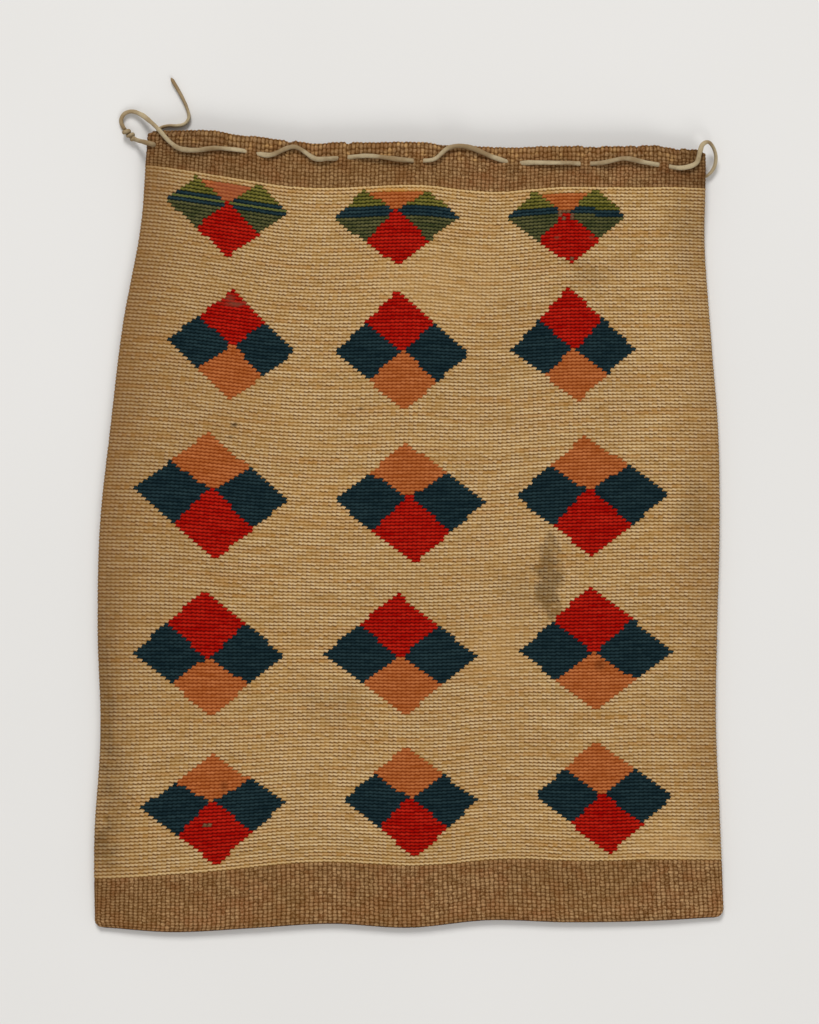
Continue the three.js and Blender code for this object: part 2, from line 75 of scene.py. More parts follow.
# The twining, counted in rows from the base and in stitches round the bag
BASE_ROWS = 17
FIELD_ROWS = 200
RIM_ROWS = 12
MIDDLE_ROW = 108
TOTAL_ROWS = BASE_ROWS + FIELD_ROWS + RIM_ROWS
RIM_SEAM_ROW = BASE_ROWS + FIELD_ROWS
ROW_PITCH = BAG_LENGTH / TOTAL_ROWS
STITCHES = 137
FRONT_FIRST = -3
FRONT_LAST = 140
ROUND_STITCHES = 277
FOLD_STITCHES = 4.3
FLAT_FROM = 1.4
FLAT_TO = STITCHES - FLAT_FROM
FLAT_STITCHES = FLAT_TO - FLAT_FROM
# The last rows are turned over into two coarse slanted ones
EDGE_ROW_SPAN = 1.5
EDGE_ROWS = 2
PLAIN_ROWS = TOTAL_ROWS - int(EDGE_ROW_SPAN * EDGE_ROWS)
WOVEN_ROWS = PLAIN_ROWS + EDGE_ROWS

# Drawcord, and the strips of rim that hold it: share of the width, drop below the rim edge
CORD_DIAMETER = 3.2
CORD_REST_GAP = 0.45
CORD_SINK = 1.1
BACK_CORD_HEIGHT = 2.5
FRONT_STRIPS = ((0.189, 11.4), (0.351, 11), (0.486, 12.9), (0.656, 10.7), (0.783, 12.5), (0.924, 12.5))
BACK_STRIPS = ((0.18, 13), (0.4, 13), (0.61, 13), (0.83, 13))
STRIP_WIDTH = 7.5
STRIP_SPAN = 15
STRIP_SLOPE_IN = 1.2
STRIP_SLOPE_OUT = 0.2
FRONT_STRIP_RISE = 2.5
BACK_STRIP_RISE = 4.2

# Places on the face are also given across and down on a view of 819 by 1024 from straight above
VIEW_SIZE = (819, 1024)
VIEW_STEP = 0.735
VIEW_MIDDLE = (409.2, 534.5)
VIEW_CENTRE = (VIEW_SIZE[0] / 2, VIEW_SIZE[1] / 2)
CAMERA_LENS = 100
CAMERA_SENSOR = 36
CAMERA_PLANE = 8
CAMERA_DISTANCE = VIEW_SIZE[1] * VIEW_STEP * CAMERA_LENS / CAMERA_SENSOR


def bend(start, end, start_slope, end_slope, t):
    """A curve with given ends and slopes."""
    cubic = start_slope + end_slope - 2 * (end - start)
    square = 3 * (end - start) - 2 * start_slope - end_slope
    return start + t * (start_slope + t * (square + t * cubic))


def wander(values, t):
    """Smooth curve through values at equal steps, read at t from 0 to 1."""
    values = np.asarray(values, float)
    last = len(values) - 1
    at = np.clip(t, 0, 1) * last
    step = np.minimum(np.floor(at).astype(int), last - 1)
    start, end = values[step], values[step + 1]
    start_slope = (end - values[np.maximum(step - 1, 0)]) / 2
    end_slope = (values[np.minimum(step + 2, last)] - start) / 2
    return bend(start, end, start_slope, end_slope, at - step)


def smooth(value, low, high):
    t = np.clip((value - low) / (high - low), 0, 1)
    return t * t * (3 - 2 * t)


def lerp(a, b, t):
    return a + (b - a) * t


def unit(vectors):
    return vectors / np.linalg.norm(vectors, axis=-1, keepdims=True)


FIELD_LENGTH = BAG_LENGTH - BASE_BAND - RIM_BAND
BASE_EDGE = -BAG_LENGTH / 2
BASE_SEAM = BASE_EDGE + BASE_BAND
MIDDLE_LINE = BASE_SEAM + FIELD_LENGTH * MIDDLE_ROW / FIELD_ROWS
# Edges, seams and a row between: row, straight line, and how far it wanders
GUIDES = (
    (0, BASE_EDGE, (-2.6, -5.9, -3, 0.3, -2.6, 2.9, 1.4, 2.2, 4.8)),
    (BASE_ROWS, BASE_SEAM, (
        -8.8, -7.4, -5.2, -2.9, 0, 3, 4.2, 3.1, 1.5, 2.7, 5.6, 6.4, 5.2, 4.9, 5.9, 5.6, 4.8,
    )),
    (BASE_ROWS + MIDDLE_ROW, MIDDLE_LINE, (7.5, 5.3, 0.1, -2.8, -2.1, -1.3, 1.6, 3.1, 3.1)),
    (RIM_SEAM_ROW, BASE_SEAM + FIELD_LENGTH, (
        14.7, 11.4, 7.1, 2.8, -1.2, -2.6, -1.9, -0.6, -0.6, -3.7, -5.5, -3.7, -1.8, -2, -2.1, -1.7, -2.2,
    )),
    (TOTAL_ROWS, BAG_LENGTH / 2, (8.3, 8, 1, -0.5, -0.5, -4.2, -3.1, -3.4, -5.6)),
)


def row_y(u, row):
    heights = [y + wander(rise, u) for _, y, rise in GUIDES]
    result = heights[0]
    for low in range(len(GUIDES) - 1):
        below, above = GUIDES[low][0], GUIDES[low + 1][0]
        part = lerp(heights[low], heights[low + 1], (row - below) / (above - below))
        result = np.where(row >= below, part, result)
    return result


def corner_inset(row):
    from_end = np.minimum(row, TOTAL_ROWS - row) * ROW_PITCH
    radius = np.where(row < TOTAL_ROWS / 2, CORNER_RADIUS, RIM_CORNER_RADIUS)
    inside = np.clip(radius - from_end, 0, radius)
    return radius - np.sqrt(radius ** 2 - inside ** 2)


def side_edge(row, side):
    v = row / TOTAL_ROWS
    out = lerp(BASE_WIDTH, MOUTH_WIDTH, v) / 2 - corner_inset(row)
    return side * out + wander(RIGHT_WANDER if side > 0 else LEFT_WANDER, v)


def row_x(u, row):
    return lerp(side_edge(row, -1), side_edge(row, 1), u)


CORNER_POWER = 9


def stitch_x(u, row, edge):
    """As row_x, with the corners' rounding kept to the corners."""
    away = np.clip((2 * u - 1) / (1 - 2 * edge), -1, 1)
    return row_x(u, row) + corner_inset(row) * (2 * u - 1) * (1 - np.abs(away) ** CORNER_POWER)


LIFT_ROW = RIM_SEAM_ROW - RIM_LIFT_RUN / ROW_PITCH


def lift_share(row):
    return smooth(row, LIFT_ROW, RIM_SEAM_ROW)


def from_base(row):
    return smooth(row * ROW_PITCH, 0, BASE_TAPER)


def full_thickness(row):
    pouch = lerp(BASE_THICKNESS, POUCH_THICKNESS, from_base(row))
    return lerp(pouch, MOUTH_THICKNESS, lift_share(row))


def fold_thickness(row):
    return FOLD_THICKNESS * np.minimum(full_thickness(row) / MOUTH_THICKNESS, 1)


def thickness(t, row):
    dome = 1 - np.abs(2 * t - 1) ** DOME_POWER
    swell = FRONT_SWELL * dome * np.sin(SWELL_TURNS * t + row / SWELL_ROWS) ** 2
    return lerp(fold_thickness(row), full_thickness(row), dome) + swell * from_base(row)


def base_round(row):
    s = np.clip(row * ROW_PITCH / BASE_ROUNDING, 0, 1)
    return np.sqrt(1 - (1 - s) ** 2)


LEAST_FOLD_SHARE = 0.06
LEAST_FOLD_RADIUS = 0.2


def skin(stitch, row, rise):
    """Points of the skin: stitch runs round the bag, rise is how far out of the skin."""
    left, right = side_edge(row, -1), side_edge(row, 1)
    lift = RIM_LIFT * lift_share(row)
    fold = fold_thickness(row) / 2
    half = fold * np.maximum(base_round(row), LEAST_FOLD_SHARE)
    edge = half / (right - left)
    past = np.maximum(stitch - FLAT_TO, FLAT_FROM - stitch)
    behind = stitch > FLAT_TO + FOLD_STITCHES
    along = (stitch - FLAT_FROM) / FLAT_STITCHES
    back_along = 1 - (stitch - FLAT_TO - FOLD_STITCHES) / FLAT_STITCHES
    t = np.clip(np.where(behind, back_along, along), 0, 1)
    turn = np.where(behind, 0, np.clip(past / FOLD_STITCHES, 0, 1) * math.pi)
    side = np.where(stitch > STITCHES / 2, 1, -1)
    u = edge + (1 - 2 * edge) * t + side * edge * np.sin(turn)
    radius = np.maximum(half + rise, LEAST_FOLD_RADIUS)
    fold_x = np.where(side > 0, right - half, left + half) + side * radius * np.sin(turn)
    fold_z = lift + fold + np.cos(turn) * (radius - half + fold * base_round(row))
    thick = thickness(t, row) / 2
    front_z = lift + thick * (1 + base_round(row)) + rise
    back_z = lift + thick * (1 - base_round(row)) - rise
    x = np.where(turn > 0, fold_x, stitch_x(u, row, edge))
    z = np.where(turn > 0, fold_z, np.where(behind, back_z, front_z))
    return np.stack([x, row_y(u, row), z], axis=-1)


def to_metres(points):
    return (np.asarray(points, float) + SHIFT) * MM


def view_place(points):
    """Places of points on the view: across and down."""
    grow = CAMERA_DISTANCE / (CAMERA_DISTANCE + CAMERA_PLANE - points[..., 2])
    across = points[..., 0] / VIEW_STEP + VIEW_MIDDLE[0] - VIEW_CENTRE[0]
    down = VIEW_MIDDLE[1] - points[..., 1] / VIEW_STEP - VIEW_CENTRE[1]
    return VIEW_CENTRE[0] + across * grow, VIEW_CENTRE[1] + down * grow


def metres_at(across, down):
    x = (across - VIEW_MIDDLE[0]) * VIEW_STEP
    y = (VIEW_MIDDLE[1] - down) * VIEW_STEP
    return to_metres([x, y, 0.0])


def add_object(name, data):
    thing = bpy.data.objects.new(name, data)
    bpy.context.scene.collection.objects.link(thing)
    return thing


def add_camera():
    data = bpy.data.cameras.new("camera")
    data.lens = CAMERA_LENS
    data.sensor_width = CAMERA_SENSOR
    camera = add_object("camera", data)
    x, y, _ = metres_at(*VIEW_CENTRE)
    camera.location = (x, y, (CAMERA_PLANE + CAMERA_DISTANCE) * MM)
    bpy.context.scene.camera = camera


# Points of the drawcord: on the bag, (share of the width, drop below the rim edge); beside it, (to the right,
# towards the mouth, height) from a corner of the rim
TIE_POINTS = ((8.5, -9.9, 12.6), (4.4, -9, 15), (0, -7.7, 14), (-4, -6.2, 9.5), (-7.7, -4.4, 4.8))
KNOT_POINT = (-11.8, -1.5, 3.9)
LOOP_POINTS = (
    (-15.8, 3.3, 2.4), (-18.4, 9.2, 1.9), (-16.5, 14.3, 1.9), (-11, 16.5, 2.2), (-3.7, 14, 5),
    (3.7, 8.1, 10.4), (10.3, 1.5, 16.4),
)
FRONT_POINTS = (
    (0.042, 7.9), (0.06, 13), (0.09, 14.4), (0.123, 12.5), (0.157, 12), (0.221, 12), (0.264, 4.1),
    (0.303, 12.2), (0.322, 12), (0.395, 9.6), (0.455, 12.6), (0.514, 11.8), (0.54, 2.6), (0.57, 0.6),
    (0.622, 7.4), (0.687, 11.2), (0.719, 11.8), (0.752, 12.2), (0.815, 12), (0.853, 8.8), (0.89, 11.3),
    (0.957, 13.6), (0.981, 9.5),
)
RIGHT_TURN_POINTS = (
    (-5, -1.5, 15.8), (-2.8, 4.4, 14.2), (1.6, 6.6, 11.6), (5.7, 2.9, 8.4), (7.9, -4.4, 5.4),
    (6, -12.5, 3.1), (-0.2, -18, 2.5),
)
BACK_POINTS = ((0.965, 18.5), (0.92, 15.5), (0.6, 13), (0.4, 13), (0.1, 14), (0.065, 16.5), (0.045, 15.5))
TAIL_POINTS = (
    (9.4, -8.8, 2.3), (7.4, -2.2, 1.9), (9.8, 3.6, 1.9), (16.2, 5.9, 1.9), (22.8, 5.9, 1.9),
    (28.7, 7.4, 1.9), (31.6, 12.1, 1.9), (30.1, 19.1, 1.9), (25.7, 28.7, 1.9), (18.4, 41.2, 1.9),
)
RIM_ROW_PITCH = RIM_BAND / RIM_ROWS


def on_rim(u, drop):
    row = TOTAL_ROWS - drop / RIM_ROW_PITCH
    edge = fold_thickness(row) / 2 / (side_edge(row, 1) - side_edge(row, -1))
    t = np.clip((u - edge) / (1 - 2 * edge), 0, 1)
    height = RIM_LIFT * lift_share(row) + thickness(t, row)
    return np.array([row_x(u, row), row_y(u, TOTAL_ROWS) - drop, height])


def beside_rim(u, offset):
    return np.array([row_x(u, RIM_SEAM_ROW), row_y(u, TOTAL_ROWS), 0.0]) + offset


def cord_points():
    lift = CORD_DIAMETER / 2 + CORD_REST_GAP
    resting = [(u, drop, lift) for u, drop in FRONT_POINTS]
    sunk = [(u, drop, -CORD_SINK) for u, drop in FRONT_STRIPS]
    front = [on_rim(u, drop) + (0, 0, up) for u, drop, up in sorted(resting + sunk)]
    back = [on_rim(u, drop) * (1, 1, 0) + (0, 0, BACK_CORD_HEIGHT) for u, drop in BACK_POINTS]
    left = [beside_rim(0, offset) for offset in (*TIE_POINTS, KNOT_POINT, *LOOP_POINTS)]
    right = [beside_rim(1, offset) for offset in RIGHT_TURN_POINTS]
    tail = [beside_rim(0, offset) for offset in TAIL_POINTS]
    return np.array(left + front + right + back + tail)


CURVE_STEPS = 24
CENTRIPETAL = 0.25


def smooth_line(points):
    """A curve through every point, its speed set by the square root of the steps."""
    steps = np.diff([2 * points[0] - points[1], *points, 2 * points[-1] - points[-2]], axis=0)
    gaps = (steps ** 2).sum(axis=1, keepdims=True) ** CENTRIPETAL
    speeds = steps / gaps
    slopes = speeds[:-1] + speeds[1:] - (steps[:-1] + steps[1:]) / (gaps[:-1] + gaps[1:])
    pieces = [points[:-1], points[1:], slopes[:-1] * gaps[1:-1], slopes[1:] * gaps[1:-1]]
    t = np.arange(CURVE_STEPS)[:, None] / CURVE_STEPS
    line = bend(*(piece[:, None, :] for piece in pieces), t)
    return np.concatenate([line.reshape(-1, 3), points[-1:]])


def read_line(at, marks, line):
    return np.stack([np.interp(at, marks, values) for values in line.T], axis=1)


def even_steps(line, step):
    lengths = np.concatenate([[0], np.cumsum(np.linalg.norm(np.diff(line, axis=0), axis=1))])
    count = int(round(lengths[-1] / step))
    return read_line(np.linspace(0, lengths[-1], count + 1), lengths, line), lengths[-1]


def add_piece(name, points, faces, material, rounded=True, uvs=None):
    """A mesh from points in millimetres and faces of four corners."""
    mesh = bpy.data.meshes.new(name)
    mesh.from_pydata(to_metres(points).tolist(), [], faces.tolist(), shade_flat=not rounded)
    for layer, corners in (uvs or {}).items():
        values = np.asarray(corners, np.float32).ravel()
        mesh.uv_layers.new(name=layer).data.foreach_set("uv", values)
    mesh.validate()
    mesh.materials.append(material)
    piece = add_object(name, mesh)
    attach(piece, BODY)
    return piece


def tube(line, radii, turns, sides):
    """Points and faces of an oval rod that turns about a line, ends closed."""
    ahead = unit(np.gradient(line, axis=0))
    across = np.zeros_like(line)
    guide = np.array([0.0, 0.0, 1.0])
    for k, direction in enumerate(ahead):
        across[k] = guide = unit(guide - direction * np.dot(guide, direction))
    over = np.cross(ahead, across)
    angles = np.arange(sides) * math.tau / sides
    wide = np.cos(angles) * radii[:, :1]
    flat = np.sin(angles) * radii[:, 1:]
    spin = turns[:, None]
    a = wide * np.cos(spin) - flat * np.sin(spin)
    b = wide * np.sin(spin) + flat * np.cos(spin)
    rings = line[:, None, :] + a[..., None] * over[:, None, :] + b[..., None] * across[:, None, :]
    last = len(line) - 1
    ring, side = (index.ravel() for index in np.indices((last, sides)))
    nearer = ring * sides
    further = nearer + sides
    following = (side + 1) % sides
    faces = np.stack([nearer + side, further + side, further + following, nearer + following], axis=1)
    corner = np.arange(1, sides - 2, 2)
    end = np.stack([0 * corner, corner, corner + 1, corner + 2], axis=1)
    return rings.reshape(-1, 3), np.concatenate([faces, end, last * sides + end[:, ::-1]])


CORD_STEP = 1.1
CORD_SIDES = 12
CORD_WIDE = 1.72
CORD_FLAT = 1.2
# Waves of the cord's width and of its twist: height, turn in a millimetre, start
CORD_WAVES = ((0.1, 0.31, 0), (0.1, 0.113, 1.7), (0.06, 0.83, 0))
CORD_TWIST = ((0.4, 0.05, 0), (0.25, 0.13, 1))
# How far its ends are rounded off, and how far short of a point they stop
CORD_END = 2.5
CORD_TIP = 0.2


def sum_of_waves(waves, at):
    return sum(height * np.sin(at * rate + start) for height, rate, start in waves)


def add_cord(material):
    line, length = even_steps(smooth_line(cord_points()), CORD_STEP)
    at = np.arange(len(line)) * CORD_STEP
    uneven = sum_of_waves(CORD_WAVES, at)
    radii = np.stack([CORD_WIDE + uneven, CORD_FLAT - uneven / 2], axis=1)
    from_end = np.minimum(at, at[::-1]) + CORD_TIP
    radii *= np.minimum(np.sqrt(from_end / CORD_END), 1)[:, None]
    points, faces = tube(line, radii, sum_of_waves(CORD_TWIST, at), CORD_SIDES)
    cord = add_piece("drawcord", points, faces, material)
    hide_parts("drawcord_tie", "drawcord_front", "drawcord_back", "drawcord_tail")
    knot = add_knot(line, material)


KNOT_TURNS = 3.1
KNOT_RADIUS = 2.35
KNOT_SPAN = 12
KNOT_ALONG = 0.8
KNOT_HEIGHT = 4.2
KNOT_STEPS = 90
# The knot's strand; in parts of it, its ends, its flatness and the waist between its lumps
KNOT_STRAND = 1.75
KNOT_END = 0.72
KNOT_FLAT = 0.92
KNOT_WAIST = 0.18
KNOT_LUMPS = 2


def add_knot(line, material):
    """The cord's own turns drawn tight, in two lumps."""
    t = np.linspace(0, 1, KNOT_STEPS + 1)
    tied = np.argmin(np.linalg.norm(line - beside_rim(0, KNOT_POINT), axis=1))
    at = tied + (KNOT_ALONG + KNOT_SPAN * (t - 0.5)) / CORD_STEP
    place = read_line(at, np.arange(len(line)), line)
    place[:, 2] = np.maximum(place[:, 2], KNOT_HEIGHT)
    ahead = unit(np.gradient(place, axis=0))
    beside = unit(np.cross(ahead, (0, 0, 1)))
    over = np.cross(beside, ahead)
    turn = (math.tau * KNOT_TURNS * t)[:, None]
    middle = np.sin(math.pi * t)
    lumps = 1 - KNOT_WAIST * (1 + np.cos(math.tau * KNOT_LUMPS * t))
    swell = (KNOT_RADIUS * middle ** 0.5 * lumps)[:, None]
    wound = place + swell * (beside * np.cos(turn) + over * np.sin(turn))
    strand = KNOT_STRAND * lerp(KNOT_END, 1, middle) * lumps
    points, faces = tube(wound, np.stack([strand, KNOT_FLAT * strand], axis=1), 0 * t, CORD_SIDES)
    knot = add_piece("drawcord_overhand_knot", points, faces, material)
    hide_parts("drawcord_knot")
    return knot


# Diamonds of each row, left to right: wools of top, sides and bottom; across and down on the view, the top,
# right, bottom and left tips and the crossing where the four parts meet
DIAMOND_ROWS = (
    ("first", ("orange", "striped", "red"), (
        (228, 153, 287, 213.6, 227.8, 257, 166.5, 199, 228.5, 202.5),
        (395, 160, 457.5, 217.5, 397.8, 265, 334.5, 219.3, 396.3, 210.2),
        (565, 160, 624.5, 215.6, 572.2, 264.5, 507.5, 219.8, 566.3, 212.7),
    )),
    ("second", ("red", "teal", "orange"), (
        (233.9, 290.2, 294, 352.2, 230, 401, 167, 340.2, 231.8, 346),
        (396.8, 291, 468.5, 353.3, 404.8, 410.6, 336, 352.8, 402.1, 351.5),
        (568.1, 288, 634, 348.7, 578.7, 401, 512, 350.5, 574.2, 349.5),
    )),
    ("third", ("orange", "teal", "red"), (
        (208.4, 433, 287, 500.6, 215.6, 559, 135, 488.8, 211.9, 489),
        (406.6, 444, 485, 502, 413.8, 564, 335, 500.7, 408.9, 496),
        (585.8, 436, 668, 495, 592.8, 556.6, 516, 496.7, 588.8, 489),
    )),
    ("fourth", ("red", "teal", "orange"), (
        (203.9, 591, 283, 655.5, 211.8, 716, 133, 653.5, 208.6, 659),
        (397.1, 594, 476, 656.3, 406, 715, 324, 654.7, 400.2, 657),
        (590.3, 587, 671.5, 651.5, 596.4, 710, 520, 652.3, 594, 652.5),
    )),
    ("fifth", ("orange", "teal", "red"), (
        (212.7, 756, 285.5, 802.3, 216.2, 865.2, 140, 809, 211.7, 801.5),
        (405.3, 747.6, 477, 800.7, 415.4, 858.4, 345, 799.2, 410.5, 797.6),
        (595.2, 741.6, 672.5, 796, 608.8, 855, 536.5, 795.6, 602, 794.4),
    )),
)
COLUMN_NAMES = ("left", "middle", "right")
CROSSING_REACH = 0.03
TIP_REACH = 1.012
# Rows of husk over the sides and over the tops of the first diamonds
HUSK_OVER_SIDES = 1
HUSK_OVER_TOPS = 2
# Navy rows in the sides of the first diamonds, olive above and green below: rows above the crossing that they
# lie between, and rows they fall towards the right tip
NAVY_STRIPES = ((-1.5, 1.5, 0), (-1.5, 1.5, 0), (-0.5, 1.5, 1))
STRIPE_WOOLS = ("olive", "green", "navy")
# Places where wool has worn off: across and down on the view, half width and height, share of stitches lost
WORN_PLACES = ((207, 825, 3.5, 2.6, 0.9), (568, 215, 10, 5, 0.6), (571, 260, 4, 4, 0.6))
WORN_SEED = 11


def diamond_shares(across, down, tips, crossing):
    """How far points lie towards a diamond's tips, sideways and up: 1 at a tip, negative left or down."""
    points = np.stack([across, down], axis=-1) - crossing
    top, right, bottom, left = np.array(tips) - crossing
    beside = np.full(across.shape, np.inf)
    up = np.full(across.shape, np.inf)
    for tall, rising in ((top, 1), (bottom, -1)):
        for wide, turning in ((right, 1), (left, -1)):
            shares = points @ np.linalg.inv(np.stack([tall, wide]))
            here = (shares >= 0).all(axis=-1)
            up = np.where(here, rising * shares[..., 0], up)
            beside = np.where(here, turning * shares[..., 1], beside)
    return beside, up


def stitch_kinds():
    """What each stitch of the front is worked in, by row and stitch."""
    stitch, row = np.meshgrid(np.arange(FRONT_FIRST, FRONT_LAST) + 0.5, np.arange(WOVEN_ROWS) + 0.5)
    kinds = np.full(stitch.shape, "hemp", "<U6")
    field = (row > BASE_ROWS) & (row < RIM_SEAM_ROW)
    kinds[field] = "husk"
    worked = field & (row < RIM_SEAM_ROW - HUSK_OVER_SIDES)
    across, down = view_place(skin(stitch, row, 0.0))
    for _, (top_wool, side_wool, bottom_wool), diamonds in DIAMOND_ROWS:
        for (low, high, fall), places in zip(NAVY_STRIPES, diamonds):
            *tips, crossing = np.reshape(places, (-1, 2))
            beside, up = diamond_shares(across, down, tips, crossing)
            inside = worked & (np.abs(beside) + np.abs(up) < TIP_REACH)
            upright = inside & (np.abs(up) > np.abs(beside) - CROSSING_REACH)
            sides = inside & ~upright
            kinds[upright & (up > 0) & (row < RIM_SEAM_ROW - HUSK_OVER_TOPS)] = top_wool
            kinds[upright & (up <= 0)] = bottom_wool
            if side_wool == "striped":
                middle = np.argmin(np.hypot(across - crossing[0], down - crossing[1]))
                level = row - row.ravel()[middle] + fall * np.maximum(beside, 0)
                striped = np.where(level > high, "olive", np.where(level > low, "navy", "green"))
                kinds[sides] = striped[sides]
            else:
                kinds[sides] = side_wool
    chance = np.random.default_rng(WORN_SEED).random(stitch.shape)
    wool = ~np.isin(kinds, ("hemp", "husk"))
    for place_across, place_down, wide, tall, share in WORN_PLACES:
        away = np.hypot((across - place_across) / wide, (down - place_down) / tall)
        kinds[(away < 1) & wool & (chance < share)] = "bare"
    return kinds


# Rings in each row and columns in each stitch, as parts of it, the first in the groove
FRONT_PHASES = (0.0, 0.36, 0.72)
FRONT_PARTS = (0.0, 1 / 3, 2 / 3)
BACK_PHASES = (0.0, 0.5)
BACK_PARTS = (0.0, 0.5)
# Hemp, husk and turned edge: relief; lean, slant, sway and unevenness in parts of a stitch or row
ROW_DEPTHS = (0.34, 0.6, 0.5)
STITCH_DEPTHS = (0.42, 0.18, 0.6)
LEANS = (0.03, 0.15, 0.04)
SLANTS = (0.04, 0, 0.05)
SWAYS = (0.13, 0, 0.13)
UNEVEN_PLACES = (0.08, 0.045, 0.08)
UNEVEN_HEIGHT = 0.12
UNEVEN_SEED = 5
# Husk stitches arch towards the mouth, more on their left
HUSK_ARCH = (0.0, 0.17, 0.1)
# Ribs of hemp sway each by itself, less within so many rows of a seam
SWAY_ROWS = 7
MOST_SWAY = 2
SWAY_FADE = 2
SWAY_SEED = 23
# Waves of the face: height, number across and along, start; stitches from a side where they rise
FACE_WAVES = ((0.5, 2.3, 1.7, 0.4), (0.35, 4.1, 3.2, 2.1), (0.22, 7.3, 5.9, 4.0))
WAVE_EDGE = (4, 14)
# Turn over the rim's edge: how far ahead and in, and the share of it between stitches
EDGE_TURN = ((0.9, 0.7), (0.9, 1.7), (0.0, WALL))
EDGE_GAP_SHARE = 0.4
# Dips and rises of the rim edge on the view: across, half width, depth
EDGE_DIPS = (
    (238, 24, 2.2), (290, 5, 2.6), (315, 22, 2.2), (348, 4, 2.4), (443, 17, 2.6), (592, 17, 1.8),
    (655, 20, -2.2), (679, 4, 1.2),
)
EDGE_DIP_ROWS = 7
# Lumps of the turned edge: on the view, their pitch and where they grow from least to full
LUMP_PITCH = 13
LUMP_HEIGHT = 1.1
LUMP_POWER = 0.7
LUMP_UNEVEN = 0.3
LUMP_RATE = 1.7
LUMP_LEVEL = 0.6
LUMP_RANGE = (480, 600)
LEAST_LUMP = 0.45
# Rows of the lining, from the rim down; the last closes it at the base
INSIDE_ROWS = (228, 226, 223, 217, 206, 190, 160, 120, 80, 40, 14, 4, 3.6)
LINING_STEP = 0.5


def row_place(woven):
    """Row of the bag at a row of the weave, coarse at the edge."""
    return np.where(woven <= PLAIN_ROWS, woven, PLAIN_ROWS + (woven - PLAIN_ROWS) * EDGE_ROW_SPAN)


def by_part(woven_row, hemp, husk, edge):
    field = (woven_row >= BASE_ROWS) & (woven_row < RIM_SEAM_ROW)
    return np.where(woven_row >= PLAIN_ROWS, edge, np.where(field, husk, hemp))


def strip_bulge(points, strips, rise):
    """How far the rim stands out over the cord behind it."""
    bulge = np.zeros(points.shape[:2])
    half = STRIP_WIDTH / 2
    for u, drop in strips:
        place = on_rim(u, drop)
        away = np.abs(points[..., 0] - place[0])
        near_x = 1 - smooth(away, half - STRIP_SLOPE_IN, half + STRIP_SLOPE_OUT)
        near_y = np.clip(1 - (2 * (points[..., 1] - place[1]) / STRIP_SPAN) ** 2, 0, 1)
        bulge = np.maximum(bulge, rise * near_x * near_y)
    return bulge


def edge_dip(points):
    across, _ = view_place(points)
    dip = 0
    for place, wide, depth in EDGE_DIPS:
        dip += depth * VIEW_STEP * (1 - smooth(np.abs(across - place), 0, wide))
    at = across / LUMP_PITCH
    uneven = 1 - LUMP_UNEVEN + LUMP_UNEVEN * np.sin(LUMP_RATE * at)
    lump = np.abs(np.sin(math.pi * at)) ** LUMP_POWER * uneven - LUMP_LEVEL
    return dip - LUMP_HEIGHT * lerp(LEAST_LUMP, 1, smooth(across, *LUMP_RANGE)) * lump


def rib_sway(stitches):
    """How far each stitch of hemp is moved along its rib, in parts of a row."""
    toss = np.random.default_rng(SWAY_SEED).normal(size=(WOVEN_ROWS + SWAY_ROWS, stitches + 1))
    sway = sum(toss[k:k + WOVEN_ROWS + 1] for k in range(SWAY_ROWS)) / math.sqrt(SWAY_ROWS)
    rows = np.arange(WOVEN_ROWS + 1)
    seams = (0, BASE_ROWS, RIM_SEAM_ROW, WOVEN_ROWS)
    from_seam = np.min([np.abs(rows - seam) for seam in seams], axis=0)
    share = by_part(rows, *SWAYS) * np.clip(from_seam / SWAY_FADE, 0, 1)
    return np.clip(sway, -MOST_SWAY, MOST_SWAY) * share[:, None]


def face_rise(stitch, row):
    """Soft waves of the face, away from its sides and base."""
    rise = 0
    for height, across, along, start in FACE_WAVES:
        rise += height * np.sin(math.tau * (across * stitch / STITCHES + along * row / TOTAL_ROWS) + start)
    return rise * smooth(stitch, *WAVE_EDGE) * smooth(STITCHES - stitch, *WAVE_EDGE) * from_base(row)


